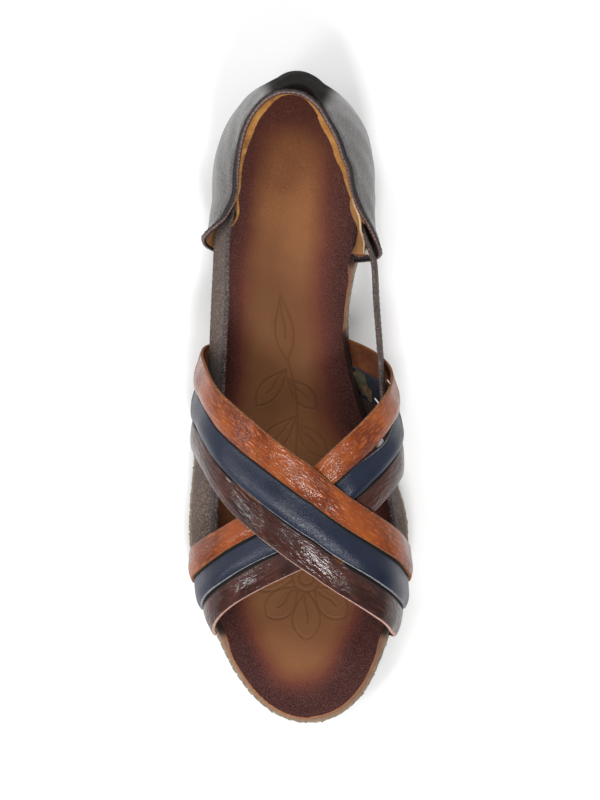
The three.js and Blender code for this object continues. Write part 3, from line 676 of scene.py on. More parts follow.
def plan_loop(stops):
    """Closed plan loop from the back of the heel up the medial side to the toe and back."""
    along = np.concatenate([stops, stops[-2:0:-1]])
    x = edge_x(along, np.where(np.arange(len(along)) < len(stops), 1, -1))
    dx = np.roll(x, -1) - np.roll(x, 1)
    da = np.roll(along, -1) - np.roll(along, 1)
    length = np.hypot(dx, da)
    return {"x": x, "along": along, "out_x": da / length, "out_along": -dx / length}


def inset_ring(plan, inset):
    return plan["x"] - plan["out_x"] * inset, plan["along"] - plan["out_along"] * inset


def slab_loops(plan, rows, levels, columns):
    """Loops across the sole, from heel to toe: bottom, medial side, top and lateral side."""
    row = np.arange(rows + 1)
    rings = [(*inset_ring(plan, inset), height) for inset, height in levels]
    sides = [[points(x[side], along[side], height(along[side])) for x, along, height in rings]
             for side in (row, (2 * rows - row) % (2 * rows))]

    def across(level, start, end, height):
        share = (np.arange(1, columns) / columns)[:, None, None]
        middle = start[level] * (1 - share) + end[level] * share
        middle[..., 2] = height(middle[..., 1])
        return list(middle)

    bottom = across(0, sides[1], sides[0], levels[0][1])
    top = across(-1, sides[0], sides[1], levels[-1][1])
    return np.stack([*bottom, *sides[0], *top, *sides[1][::-1]], axis=1)


def climb_height(along):
    return np.minimum(ROLL_HEIGHT, ROLL_SHARE * (seat(along) - under(along)))


def sole_levels():
    levels = []
    for angle in np.radians(range(0, 91, 9)):
        deep = tread_depth(ROLL_WIDTH * math.sin(angle))
        levels.append((ROLL_WIDTH * (1 - math.sin(angle)) + deep * math.sin(angle),
                       lambda along, a=angle, d=deep: under(along) + climb_height(along) * (1 - math.cos(a))
                       + d * math.cos(a)))
    for angle in np.radians(range(0, 91, 18)):
        levels.append((TOP_EDGE_RADIUS * (1 - math.cos(angle)) + TOP_EDGE_INSET,
                       lambda along, a=angle: seat(along) - TOP_EDGE_RADIUS * (1 - math.sin(a))))
    return levels


RECESS_HALF = np.array([RECESS["width"] / 2, RECESS["length"] / 2])
RECESS_CENTRE = np.array([RECESS["x"], RECESS["along"]])
RECESS_DEEPER = 0.35  # than in the CAD, because here the sole stands higher between the tread's wedges
QUARTERS = np.array([(1, 1), (-1, 1), (-1, -1), (1, -1)])  # which way the four corners lie


def recess_prism():
    """Prism with rounded corners, from under the sole up to the recess's roof."""
    ring = []
    for k, corner in enumerate(QUARTERS):
        centre = RECESS_CENTRE + corner * (RECESS_HALF - RECESS["corner"])
        for angle in np.linspace(k * math.pi / 2, (k + 1) * math.pi / 2, 5):
            ring.append(centre + RECESS["corner"] * np.array([math.cos(angle), math.sin(angle)]))
    x, along = np.transpose(ring)
    roof = under(along) + RECESS["depth"] + RECESS_DEEPER
    return np.stack([points(x, along, -2), points(x, along, roof)])


def under_upper_shade(x, along):
    """1 where straps or counter come down round the footbed, where the footbed's edge and the sole's rim get
    painted shade; 0 at the toe and in the bare arch.
    """
    arch = between(along, 70, 74, 95, 99) * (x > 0)
    return (1 - arch) * (1 - smooth(along, 216, 219))


def rim_values(spots):
    x, along, z = spots.T
    drop = z - seat(along)
    shaded = between(along, 96, 100, 133, 140) * (x > 0)
    # Painted shade: inside darkens the rim's top under the upper, and the rim's side lower down beside the
    # medial straps.
    inside = np.maximum(smooth(drop, -0.35, -0.02) * under_upper_shade(x, along), smooth(drop, -3.0, -1.6) * shaded)
    return {"rim": smooth(drop, -6.0, -2.0), "welt": smooth(drop, -0.7, -0.1), "inside": inside}


def make_sole():
    stops = stations()
    form = loft(slab_loops(plan_loop(stops), len(stops) - 1, sole_levels(), 24), closed_ends=False)
    sole = make("sole", form, [RUBBER, RECESS_RUBBER], values=rim_values(form[0]))
    tidy(sole.data, 0.004)
    cut(sole, make("recess_tool", loft(recess_prism()), [RUBBER]))
    for face in sole.data.polygons:
        x, along = face.center.x / MM - SHIFT_X, SHIFT_Y - face.center.y / MM
        within = np.abs(np.array([x, along]) - RECESS_CENTRE) < RECESS_HALF + 0.05
        face.material_index = int(within.all() and face.center.z / MM < under(along) + 2)
    sharpen(sole, 40)
    piece(sole, "outsole")


def bezier(start, handle_a, handle_b, end, steps):
    t = np.linspace(0, 1, steps, endpoint=False)[:, None]
    a, b, c, d = (np.array(p, float) for p in (start, handle_a, handle_b, end))
    return (1 - t) ** 3 * a + 3 * t * (1 - t) ** 2 * b + 3 * t * t * (1 - t) * c + t**3 * d


# Outlines of the heel pads as (x, along): a leaf from its front tip round its inner belly to its rear
# tip and back, and the fan at the back.
LEAF_PADS = (
    ((16.4, 74), (-3.6, 46), (-3.6, 44), (19.8, 15.5), (27.0, 30), (21.6, 58)),
    ((-22.6, 76), (1.0, 46), (1.0, 44), (-19.4, 15), (-26.6, 30), (-25.4, 58)),
)
FAN = {"apex": (0.2, 28.9), "corner": (15.6, 11.0), "belly": 1.6}
PAD_STEPS = 28


def leaf_outline(front, inner_a, inner_b, rear, outer_a, outer_b):
    inner = bezier(front, inner_a, inner_b, rear, PAD_STEPS)
    return np.concatenate([inner, bezier(rear, outer_a, outer_b, front, PAD_STEPS)])


def fan_outline():
    (ax, ay), (cx, cy) = FAN["apex"], FAN["corner"]
    t = np.linspace(0, 1, PAD_STEPS)[:, None]
    left, middle, right = np.array([(-cx, cy), (ax, FAN["belly"]), (cx, cy)])
    return np.concatenate([[[ax, ay]], (1 - t) ** 2 * left + 2 * t * (1 - t) * middle + t * t * right])


def polygon_distance(spots, ring):
    """Signed distance of points to a closed outline, positive inside."""
    a, b = ring, np.roll(ring, -1, axis=0)
    ab = b - a
    ap = spots[:, None, :] - a[None]
    t = np.clip((ap * ab).sum(-1) / (ab * ab).sum(-1), 0, 1)
    away = np.linalg.norm(ap - t[..., None] * ab, axis=-1).min(axis=1)
    y0, y1 = a[:, 1], b[:, 1]
    crosses = (y0 > spots[:, 1:2]) != (y1 > spots[:, 1:2])
    with np.errstate(divide="ignore", invalid="ignore"):
        where = a[:, 0] + (spots[:, 1:2] - y0) * ab[:, 0] / (y1 - y0)
    inside = (crosses & (spots[:, 0:1] < where)).sum(axis=1) % 2 == 1
    return np.where(inside, away, -away)


def shrink(ring, inset):
    """Outline moved inwards along its own normals."""
    edge = np.roll(ring, -1, axis=0) - np.roll(ring, 1, axis=0)
    normal = unit(np.stack([edge[:, 1], -edge[:, 0]], axis=-1))
    outwards = ((ring - ring.mean(axis=0)) * normal).sum() >= 0
    return ring - normal * (inset if outwards else -inset)


DIMPLES = (  # round dimples in the two leaf pads, as (x, along), and none in the fan
    ((17.6, 48.9), (18.4, 43.5), (13.4, 43.2), (19.2, 38.0), (13.9, 38.0), (19.5, 32.4), (14.1, 32.6),
     (18.9, 26.8), (13.6, 27.7), (17.9, 21.2)),
    ((-19.3, 51.0), (-14.7, 44.7), (-19.3, 44.9), (-9.7, 38.9), (-14.6, 38.9), (-19.2, 38.5), (-9.4, 33.1),
     (-14.4, 32.8), (-19.1, 32.6), (-13.7, 27.4), (-18.5, 26.4), (-16.7, 20.2)),
    (),
)
DIMPLE_RADIUS = 1.15
# Rounded edge of a pad, as inset and height above its underside.
PAD_EDGE = ((0.9, 0.0), (0.62, 0.06), (0.3, 0.25), (0.06, 0.55), (0, 0.9), (0, 5.0))


def ball(centre, radius, rings=8, sides=16):
    lat = np.linspace(0, math.pi, rings + 1)[1:-1, None]
    lon = np.linspace(0, TURN, sides, endpoint=False)
    sphere = points(np.sin(lat) * np.cos(lon), np.sin(lat) * np.sin(lon), np.cos(lat))
    return loft(np.array(centre) + radius * sphere)


def make_pads():
    outlines = [*(leaf_outline(*pad) for pad in LEAF_PADS), fan_outline()]
    for number, (ring, dimples) in enumerate(zip(outlines, DIMPLES)):
        loops = []
        for inset, drop in PAD_EDGE:
            x, along = shrink(ring, inset).T
            loops.append(points(x, along, np.maximum(0, under(along) - PAD_DEPTH) + drop))
        pad = make(f"heel_pad_{number + 1}", loft(np.stack(loops)), [RUBBER])
        if dimples:
            balls = [ball((x, along, -0.45), DIMPLE_RADIUS) for x, along in dimples]
            cut(pad, make("dimple_tool", joined(balls), [RUBBER]))
        sharpen(pad, 35)
        trim(pad)
    return outlines


def make_heel_ring(centre=(0.2, 14.3, 0.1), radius=4.7, wire=0.22):
    """Thin raised ring on the underside."""
    turn = np.linspace(0, TURN, 48, endpoint=False)[:, None]
    section = np.linspace(0, TURN, 8, endpoint=False)
    reach = radius + wire * np.cos(section)
    loops = points(reach * np.cos(turn), reach * np.sin(turn), wire * np.sin(section)) + centre
    ring = loft(np.concatenate([loops, loops[:1]]), closed_ends=False)
    trim(make("heel_ring", ring, [RUBBER], merge=0.001))


# Tread: small wedges in a square-cornered grid, turned on the sole. Each one rises to a cliff on its
# lateral, forward side.
TREAD_ROW = np.array([2.23, 2.90])  # from one wedge to the next along a row: x, along
TREAD_STEP = np.array([2.38, -1.57])  # from one row to the next
TREAD_START = np.array([0.0, 120.0])  # a place that the grid goes through
WALL_CLEAR = 0.9  # bare stretch under the sole's top edge
PAD_CLEAR, RECESS_CLEAR = 1.7, 1.5  # bare strips round the heel pads and the recess
TREAD_REACH, TREAD_HALF = 22, 82  # the grid's reach past the sole's two ends, and its half width
WEDGE = {"length": 2.75, "width": 2.25, "low": 0.06, "high": 0.62, "root": 0.5, "taper": 0.94}
WEDGE_FACES = [[3, 2, 1, 0], [4, 5, 6, 7], [0, 1, 5, 4], [1, 2, 6, 5], [2, 3, 7, 6], [3, 0, 4, 7]]


def tread_depth(reach):
    """Height of the tread, which fades as it climbs the sole's rolled side."""
    return WEDGE["high"] * (1 - 0.72 * smooth(reach, 4.0, 9.5))


def roll_walk(along, reach):
    """Point and direction on the section of the sole's side, reach mm out from the edge of the flat tread."""
    steps = np.linspace(0, math.pi / 2, 13)
    curve = np.stack([ROLL_WIDTH * np.sin(steps), climb_height(along) * (1 - np.cos(steps))], axis=-1)
    curve = np.concatenate([curve, [[ROLL_WIDTH, seat(along) - under(along) - TOP_EDGE_RADIUS]]])
    total = distances(curve)
    if reach > total[-1] - WALL_CLEAR:
        return None
    k = int(np.searchsorted(total, reach, side="right") - 1)
    t = (reach - total[k]) / (total[k + 1] - total[k])
    return curve[k] * (1 - t) + curve[k + 1] * t, unit(curve[k + 1] - curve[k])


def wedge(spot, rim, out):
    """One wedge of the tread, near the outline's point rim, or None where spot lies past the sole's side."""
    edge = rim - out * ROLL_WIDTH
    row, step = unit(TREAD_ROW), -unit(TREAD_STEP)
    sideways = np.array([-out[1], out[0]])
    outward = float((spot - edge) @ out)
    if outward > 0 and abs(float((spot - edge) @ sideways)) > 2.0:
        return None
    if outward <= 0.01:
        slope = float(under(spot[1] + 0.5) - under(spot[1] - 0.5))
        base = np.array([*spot, under(spot[1])])
        along_row, along_step = (unit(np.array([*way, way[1] * slope])) for way in (row, step))
        normal = unit(np.array([0, slope, -1.0]))
    else:
        walked = roll_walk(rim[1], outward)
        if walked is None:
            return None
        (across, height), direction = walked
        flat = edge + out * across
        base = np.array([*flat, under(flat[1]) + height])
        outgoing = np.array([*(out * direction[0]), direction[1]])
        along_row, along_step = (np.array([*sideways, 0.0]) * (way @ sideways) + outgoing * (way @ out)
                                 for way in (row, step))
        normal = np.array([*(out * direction[1]), -direction[0]])
    deep = tread_depth(max(0.0, outward))
    base = base - normal * deep
    top, bottom = [], []
    for a, b in ((-1, -1), (1, -1), (1, 1), (-1, 1)):
        lift = (WEDGE["high"] if b > 0 else WEDGE["low"]) * deep / WEDGE["high"]
        reach = along_row * (WEDGE["length"] / 2 * a) + along_step * (WEDGE["width"] / 2 * b)
        top.append(base + reach * WEDGE["taper"] + normal * lift)
        bottom.append(base + reach - normal * WEDGE["root"])
    return np.array(bottom + top), WEDGE_FACES


def make_tread(pad_outlines):
    plan = plan_loop(stations(70, 0.8))
    rim = np.stack([plan["x"], plan["along"]], axis=-1)
    out = np.stack([plan["out_x"], plan["out_along"]], axis=-1)
    flat_edge = rim - out * ROLL_WIDTH
    grid = np.array([i * TREAD_ROW + j * TREAD_STEP + TREAD_START
                     for i in range(-90, 130) for j in range(-70, 70)])
    x, along = grid.T
    grid = grid[(along > -TREAD_REACH) & (along < LENGTH + TREAD_REACH) & (abs(x) < TREAD_HALF)]
    clear = np.full(len(grid), True)
    recess = RECESS_CENTRE + QUARTERS * RECESS_HALF
    for ring, gap in [(ring, PAD_CLEAR) for ring in pad_outlines] + [(recess, RECESS_CLEAR)]:
        clear &= polygon_distance(grid, ring) < -gap
    parts = []
    for spot in grid[clear]:
        k = np.hypot(*(flat_edge - spot).T).argmin()
        parts.append(wedge(spot, rim[k], out[k]))
    form = joined(part for part in parts if part)
    trim(make("tread", form, [RUBBER], smoothed=False, values=rim_values(form[0])))


# ---- insole ----

# Generic flower, stem and leaves pressed into the footbed. Angles are turned from straight forwards.
FLOWER = {"x": 5.4, "along": 194.5, "eye": 2.8, "ring": 5.4, "petals": 8, "length": 19.0, "width": 5.6}
LEAVES = table(
    "x along length width turn",
    (-5.0, 83.0, 26.0, 3.6, 6), (-2.6, 116.0, 17.0, 3.6, 44), (-2.6, 112.5, 19.0, 3.8, -40),
    (1.6, 134.0, 18.0, 3.8, 42), (1.4, 131.0, 20.0, 4.0, -44), (4.6, 152.0, 16.0, 3.6, 40),
)


def turned(root, degrees, run, side):
    """Points at distances run and side from a root, along and across a direction."""
    angle = math.radians(90 - degrees)
    away, across = np.array([math.cos(angle), math.sin(angle)]), np.array([-math.sin(angle), math.cos(angle)])
    return np.array(root) + run[:, None] * away + side[:, None] * across


def blade(root, degrees, length, width, roundness):
    """Outline of a petal or leaf, with its middle vein."""
    t = np.linspace(0, 1, 41)
    half = width * np.sin(np.pi * t**1.25) ** roundness
    vein = np.linspace(0.1, 0.66, 12)
    return [turned(root, degrees, length * t, half), turned(root, degrees, length * t, -half),
            turned(root, degrees, length * vein, 0.7 * np.sin(vein * 9) * width / 6)]


def ornament():
    turn = np.linspace(0, TURN, 49)
    centre = np.array([FLOWER["x"], FLOWER["along"]])
    circle = np.stack([np.cos(turn), np.sin(turn)], axis=-1)
    lines = [centre + FLOWER["eye"] * circle, centre + FLOWER["ring"] * circle]
    for k in range(FLOWER["petals"]):
        degrees = k * 360 / FLOWER["petals"]
        root = turned(centre, degrees, np.array([FLOWER["ring"]]), np.zeros(1))[0]
        length = FLOWER["length"] * (0.86 if k % 2 else 1.0)
        lines += blade(root, degrees, length, FLOWER["width"] * 0.98, 0.62)
    for leaf in LEAVES:
        lines += blade((leaf["x"], leaf["along"]), leaf["turn"], leaf["length"], leaf["width"], 0.9)
    t = np.linspace(0, 1, 70)[:, None]
    stem = np.array([-2.4, 108.0]) * (1 - t) + np.array([5.0, 165.0]) * t
    return [*lines, stem + np.array([1.6, 0.0]) * np.sin(np.pi * 1.8 * t)]


def line_distance(x, along, lines):
    """Distance from each grid point to the nearest of the curves, worked out only near them."""
    away = np.full(x.shape, 9.0)
    for line in lines:
        low, high = line.min(axis=0) - 2, line.max(axis=0) + 2
        near = (x > low[0]) & (x < high[0]) & (along > low[1]) & (along < high[1])
        spots, best = np.stack([x[near], along[near]], axis=-1), away[near]
        for a, b in zip(line[:-1], line[1:]):
            ab = b - a
            t = np.clip(((spots - a) @ ab) / max(float(ab @ ab), 1e-9), 0, 1)
            best = np.minimum(best, np.hypot(*(spots - a - t[:, None] * ab).T))
        away[near] = best
    return away


BURNISH = table(  # halfway from tan to maroon, on the lateral and the medial side
    "along lateral medial",
    (10, -9.0, 6.0), (20, -11.5, 8.8), (30, -13.0, 10.5), (43, -15.5, 12.5), (57, -17.3, 12.5),
    (70, -19.0, 10.6), (85, -19.2, 9.9), (100, -20.4, 11.4), (115, -20.6, 12.2), (133, -24, 14.0),
    (150, -29, 26), (165, -29, 33), (188, -24, 26.0), (208, -18.5, 24.0), (215, -16.2, 21.2),
    (222, -13.6, 18.2), (230, -10.0, 15.0), (245, -5.0, 10.0),
)
BURNISH_BACK, BURNISH_FRONT, BURNISH_SOFT, BURNISH_SHARP = 18.0, 237.0, 7.6, 0.22


def painted_light_opening(x, along):
    """1 in the middle of the lateral opening between the straps, where the footbed is painted lighter against
    the straps' shade.
    """
    return bell(x, -25, 9) * bell(along, 163, 13)


def burnished(x, along):
    """1 in the dark border, 0 in the tan middle."""
    sides = tracks(BURNISH)
    reach = [x - sides["lateral"](along), sides["medial"](along) - x,
             along - BURNISH_BACK, (BURNISH_FRONT - along) * 0.9]
    inside = -np.log(sum(np.exp(-BURNISH_SHARP * np.clip(r, -40, 60)) for r in reach)) / BURNISH_SHARP
    medial = smooth(x, 2, 12) * (1 - smooth(along, 130, 160))
    soft = BURNISH_SOFT - 1.2 * smooth(along, 205, 225) + 3.0 * medial
    # Painted light: the dark border is weaker at the heel, in the counter's shade, and in the lateral
    # opening, in the straps' shade.
    strength = (0.64 + 0.36 * smooth(along, 14, 60)) * (1 - 0.75 * painted_light_opening(x, along))
    return (1 - smooth(inside, -soft, soft)) * strength


def insole_inset(plan):
    """How far the footbed's edge stands in from the sole's: less where nothing of the upper goes down."""
    along, side = plan["along"], np.where(plan["out_x"] > 0, 1, -1)
    arch = smooth(along, 72, 78) * (0.55 * (1 - smooth(along, 93, 98)) + 1.05 * (1 - smooth(along, 132, 146)))
    return INSOLE_INSET - arch * (side > 0) - smooth(along, 219, 228) * np.where(side > 0, 0.8, 1.3)


def make_insole():
    stops = stations(46, 2.2, fine=(80.0, 221.0, 0.46))
    plan = plan_loop(stops)
    edge = insole_inset(plan)
    # Side wall and bottom as a plain slab, with a soft shoulder round the top.
    shoulder, round_in, columns = 1.0, 0.75, 150
    levels = [(edge, featherline)]
    for angle in np.radians((0, 25, 50, 70, 90)):
        rise = INSOLE_THICK - shoulder + shoulder * math.sin(angle)
        levels.append((edge + round_in * (1 - math.cos(angle)),
                       lambda along, rise=rise: featherline(along) + rise))
    loops = slab_loops(plan, len(stops) - 1, levels, columns)
    # The top's points are those between the two sides' last levels.
    first = (columns - 1) + len(levels) - 1
    top = slice(first, first + columns + 1)
    x, along = loops[..., 0], loops[..., 1]
    ring = np.stack(inset_ring(plan, edge), axis=-1)
    flat = loops[:, top, :2].reshape(-1, 2)
    depth = np.concatenate([polygon_distance(chunk, ring[::5]) for chunk in np.array_split(flat, 40)])
    away = line_distance(x[:, top], along[:, top], ornament())
    groove = np.zeros(x.shape)
    groove[:, top] = 1 - smooth(away, 0.05, 0.50)
    lip = between(away, 0.35, 0.7, 0.7, 1.5)
    dish = 0.9 * smooth(np.maximum(0, depth).reshape(away.shape), 1.5, 20.0)
    loops[:, top, 2] += -dish - 0.26 * groove[:, top] + 0.09 * lip
    form = loft(loops, closed_ends=False)
    slots = [0 if top.start <= place < top.stop - 1 else 1 for place in form[2]]
    # pale is painted light: towards the heel, in the counter's shade, and in the lateral opening under the
    # straps.
    pale = np.maximum(1 - smooth(along, 32, 82), painted_light_opening(x, along))
    # inside marks painted shade on the footbed's edge under the upper.
    insole = make("insole_board", form, [INSOLE, INSOLE_EDGE], slots,
                  values={"burnish": burnished(x, along), "groove": groove, "pale": pale,
                          "inside": under_upper_shade(x, along)})
    piece(insole, "insole")


# ---- last and straps ----


def on_last(along, across):
    """Point of the last, by its place forwards and round it: -1 at the lateral rim to 1 at the medial rim."""
    across = np.asarray(across, float)
    medial = across >= 0
    side = np.where(medial, 1.0, -1.0)
    bulge = side * np.where(medial, last["medial"](along), last["lateral"](along))
    lift = np.where(medial, last["medialLift"](along), last["lateralLift"](along))
    share = np.abs(across)
    down = np.maximum(0, (share - SIDE_SHARE) / (1 - SIDE_SHARE))
    foot = edge_x(along, side) - side * RIM_INSET
    low_x = bulge - (bulge - foot) * down**2
    low_z = lift * (1 - down)
    angle = (math.pi / 2) * (1 - np.minimum(share / SIDE_SHARE, 1))
    c, s = np.cos(angle), np.sin(angle)
    power = np.where(medial, FULLNESS[1], FULLNESS[-1])
    radius = (np.maximum(c, 0) ** power + np.maximum(s, 0) ** power) ** (-1 / power)
    ridge = last["ridge"](along)
    high_x = ridge + (bulge - ridge) * radius * c
    high_z = lift + (last["rise"](along) - lift) * radius * s
    low = share > SIDE_SHARE
    return points(np.where(low, low_x, high_x), along, featherline(along) + np.where(low, low_z, high_z))


def off_last(along, across, distance):
    """Point at a distance out from the last."""
    step = 1e-3
    girth = on_last(along, across + step) - on_last(along, across - step)
    forward = on_last(along + step, across) - on_last(along - step, across)
    out = unit(np.cross(girth, forward))
    ridge_up = out[..., 2:3] * (np.abs(np.asarray(across))[..., None] < 0.3)
    out = np.where(ridge_up < 0, -out, out)
    return on_last(along, across) + out * np.asarray(distance)[..., None]


STRAP = {"thick": 1.15, "base": 1.5, "overlap": 1.9, "tilt": 1.25, "crown": 0.85, "climb": 2.9,
         "flat": 0.30, "ramp": 0.24, "foot": 0.35}
SLIT = {"across": 0.40, "run": 0.090, "wide": 2.1}
STRAP_KINDS = (  # name, CAD node, slot, leather, cut edge and inside
    ("tan", "straps_tan", "tan_leather", TAN, EDGE_TAN, RUSSET),
    ("navy", "straps_navy", "navy_leather", NAVY, EDGE_GREY, SLATE),
    ("brown", "straps_brown", "brown_leather", BROWN, EDGE_PALE, UMBER),
)
STRAP_ROWS, STRAP_UNDER, STRAP_ACROSS = 220, 11, 26  # faces along a strap, across its inside and its outside


def phase_of(third, band):
    """Phase of a strap's waves, so that no two straps are alike."""
    return 1.7 * third + (0.9 if band == "over" else 0)


def strap_place(third, band, way, share):
    """Where spots of a strap lie: along and across the last, how far out its inner face is, and its seam."""
    start, end = route[f"{band}Start"](way), route[f"{band}End"](way)
    width = (end - start) / 3
    rear = start + width * third - (STRAP["overlap"] if third else 0)
    bare, gap = 0 * way, 0.0
    if band == "under" and third == 1:  # tan and navy part at the medial side, most near the crossing
        bare = between(way, 0.17, 0.24, 0.60, 0.76)
        gap = 1.3 + SLIT["wide"] * bell(way, SLIT["across"], SLIT["run"])
    if band == "over" and third == 2:  # navy stops short of brown, so that brown's raw edge shows
        bare = between(way, -0.29, -0.25, -0.185, -0.172) + between(way, 0.07, 0.078, 0.118, 0.135)
        gap = 0.55
    rear = rear + (STRAP["overlap"] + gap) * bare
    front = start + width * (third + 1)
    # Slow waves and edge wobble, so that the strip isn't machined.
    phase = phase_of(third, band)
    wobble = 0.16 * np.sin(way * 9 + phase) + 0.10 * np.sin(way * 23 + 2 * phase)
    along = rear + (front - rear) * share + wobble * (share - 0.5) * 2
    tilt = STRAP["tilt"] * smooth(share, 0.22, 0.86) * (1.0 if third < 2 else 0.25)
    crown = STRAP["crown"] * (1 - (2 * share - 1) ** 2)
    over = STRAP["climb"] * (1 - smooth(np.abs(way), STRAP["flat"], STRAP["flat"] + STRAP["ramp"]))
    lift = np.where(way < 0, last["lateralLift"](along), last["medialLift"](along))
    across = way * (1 - (1 - SIDE_SHARE) * (-STRAP["foot"]) / lift)
    distance = STRAP["base"] + tilt + crown + (over if band == "over" else 0)
    return along, across, distance, start + width * third, bare


def make_strap(kind, third, band):
    name, node, slot, leather, edge, back = kind
    way = np.linspace(-1, 1, STRAP_ROWS + 1)[:, None]
    # Cross-section as shares of the width and of the thickness, round the strap from its inner face. The
    # brown strap's rear edge is bevelled.
    round_in, rear_edge = 0.018, [(0.004, 0.15), (0.0, 0.5), (0.006, 0.85)]
    rear_in = round_in
    if third == 2:
        rear_in, rear_edge = 3 * round_in, [(0.0, 0.15), (0.012, 0.5), (0.036, 0.86)]
    bottom = [(a, 0.0) for a in np.linspace(1 - round_in, round_in, STRAP_UNDER + 1)]
    upper = [(a, 1.0) for a in np.linspace(rear_in, 1 - 2.2 * round_in, STRAP_ACROSS + 1)]
    front_edge = [(0.976, 0.86), (0.994, 0.55), (0.998, 0.2)]
    share, level = np.array(bottom + rear_edge + upper + front_edge).T[:, None]
    along, across, distance, seam_at, bare = strap_place(third, band, way, share)
    phase = phase_of(third, band)
    distance = distance + level * STRAP["thick"]
    distance = distance + 0.12 * np.sin(along / 3.1 + phase) * np.sin(way * 31 + phase) * (level > 0.5)
    loops = off_last(along, np.broadcast_to(across, along.shape), distance)
    run = distances(loops.mean(axis=1))
    first = len(bottom) + len(rear_edge)
    width = np.linalg.norm(loops[:, first] - loops[:, first + STRAP_ACROSS], axis=-1)[:, None]
    # Painted shadow: the strip just toe-ward of where the strap before this one lies over it is darkened, and
    # made matt, as the shadow under that strap's edge.
    strap_shadow = (1 - smooth(along - seam_at, 1.2, 1.45)) * (1 - bare) * (third > 0)
    dull = smooth(np.abs(way), 0.52, 0.86) * np.ones_like(along)
    spots, faces, places = loft(loops)
    slot_of = [2] * STRAP_UNDER + [3] * 4 + [0] * STRAP_ACROSS + [1] * 4
    slots = [slot_of[place] for place in places]  # the cut ends' place is -1, so they get the last one
    for number, face in enumerate(faces):
        at = way[min(face) // share.size, 0]
        if slots[number] == 3 and third == 2 and abs(at) > 0.45:
            slots[number] = 2
        if places[number] == first - 1 and third == 1 and band == "under" and 0.26 < at < 0.7:
            slots[number] = 1  # only a thin pale line shows beside the slit
    # Navy's rear edge, tucked under the tan strap, takes the dark edge as painted shade; the other straps'
    # rear edges are tan.
    materials = [leather, edge, back, EDGE_DARK if third == 1 else EDGE_TAN]
    strap = make(f"strap_{name}_{band}", (spots, faces), materials, slots,
                 uv=strip(run[:, None], (share - 0.5) * width), values={"strap_shadow": strap_shadow, "dull": dull})
    piece(strap, node)


def make_patch():
    """Torn bit of lining glued inside the navy strap, low on the medial side."""
    turn = np.linspace(0, TURN, 56, endpoint=False)
    ragged = 1 + 0.16 * np.sin(3 * turn + 1) + 0.10 * np.sin(7 * turn) + 0.05 * np.sin(17 * turn + 2)
    rings = []
    for reach in (0.04, 0.3, 0.55, 0.8, 0.93, 1.0):
        way = np.minimum(0.965 + 0.036 * reach * ragged * np.cos(turn), 0.993)
        share = np.clip(0.45 + 0.42 * reach * ragged * np.sin(turn), 0.04, 0.94)
        rings.append(strap_place(1, "under", way, share)[:3])
    out = [off_last(along, across, distance - 0.02) for along, across, distance in rings]
    inner = [off_last(along, across, distance - 0.42) for along, across, distance in rings[::-1]]
    trim(make("lining_patch", loft(np.array(out + inner)), [KHAKI]))


THREAD_SHAPE = ((0, 0.35, -0.9), (0.12, 0.85, -0.2), (0.35, 1.0, 0.2), (0.65, 1.0, 0.2), (0.88, 0.85, -0.2),
                (1, 0.35, -0.9))  # share of the length, and of the radius its thickness and rise
LOOSE_LIFT = np.array([0.3, 0.2, 1.0])


def capsule(start, end, radius, lift=LOOSE_LIFT, sides=8):
    """Stitch: a short arched thread from start to end, with its middle lifted along lift."""
    direction = unit(end - start)
    across = unit(np.cross(direction, lift))
    up = np.cross(across, direction)
    turn = np.linspace(0, TURN, sides, endpoint=False)[:, None]
    ring = across * np.cos(turn) + up * np.sin(turn)
    return loft(np.array([start + (end - start) * t + up * high * radius + radius * fat * ring
                          for t, fat, high in THREAD_SHAPE]))


def make_frays():
    """Loose threads at the medial side: two on the tan strap's edge, the others at the lining's front end."""
    parts = []
    for way, reach, thick in ((0.392, (-1.6, -2.2, -0.5), 0.24), (0.56, (-1.4, -1.8, 0.4), 0.2)):
        along, across, distance, *_ = strap_place(0, "under", np.array(way), np.array(0.01))
        root = off_last(along, across, distance + 0.5)
        parts.append(capsule(root, root + np.array(reach), thick))
    for x, along, high, reach in ((28.5, 65.2, 22.3, (0.9, 1.7, 0.3)), (28.8, 66.2, 22.0, (0.7, 1.5, 0.8)),
                                  (28.4, 66.0, 22.4, (0.2, 1.6, 0.2)), (28.7, 66.9, 21.8, (1.0, 0.7, 0.6))):
        root = np.array([x, along, high + float(featherline(along))])
        parts.append(capsule(root, root + np.array(reach), 0.25))
    trim(make("frayed_threads", joined(parts), [FRAY]))


# ---- heel counter ----


def on_counter(around, share):
    """Inner face of the counter."""
    around, share = np.broadcast_arrays(np.asarray(around, float), np.asarray(share, float))
    medial = around <= 0.5
    foot = np.where(medial, COUNTER_FRONT[1][0], COUNTER_FRONT[-1][0])
    corner = np.where(medial, COUNTER_FRONT[1][1], COUNTER_FRONT[-1][1])
    front = foot + (corner - foot) * share

    def stop(place):
        along = front * (1 - np.sin(np.pi * place))
        return edge_x(along, np.where(place <= 0.5, 1, -1)), along

    x, along = stop(around)
    x0, along0 = stop(np.maximum(0, around - 0.01))
    x1, along1 = stop(np.minimum(1, around + 0.01))
    length = np.hypot(x1 - x0, along1 - along0)
    out_x, out_along = -(along1 - along0) / length, (x1 - x0) / length
    out = 4 * counter["belly"](around) * share * (1 - share) + counter["lean"](around) * share - RIM_INSET
    place = along + out_along * out
    z = featherline(np.maximum(0, place)) + counter["height"](around) * share
    return points(x + out_x * out, place, z)


def counter_out(around, share):
    """Outward direction on the counter."""
    step = 1e-3
    turn = on_counter(np.minimum(1, around + step), share) - on_counter(np.maximum(0, around - step), share)
    up = on_counter(around, np.minimum(1, share + step)) - on_counter(around, np.maximum(0, share - step))
    out = unit(np.cross(turn, up))
    centre = np.array([0.0, 40.0, 0.0])
    flip = ((on_counter(around, share) - centre) * out * np.array([1, 1, 0])).sum(-1, keepdims=True) < 0
    return np.where(flip, -out, out)


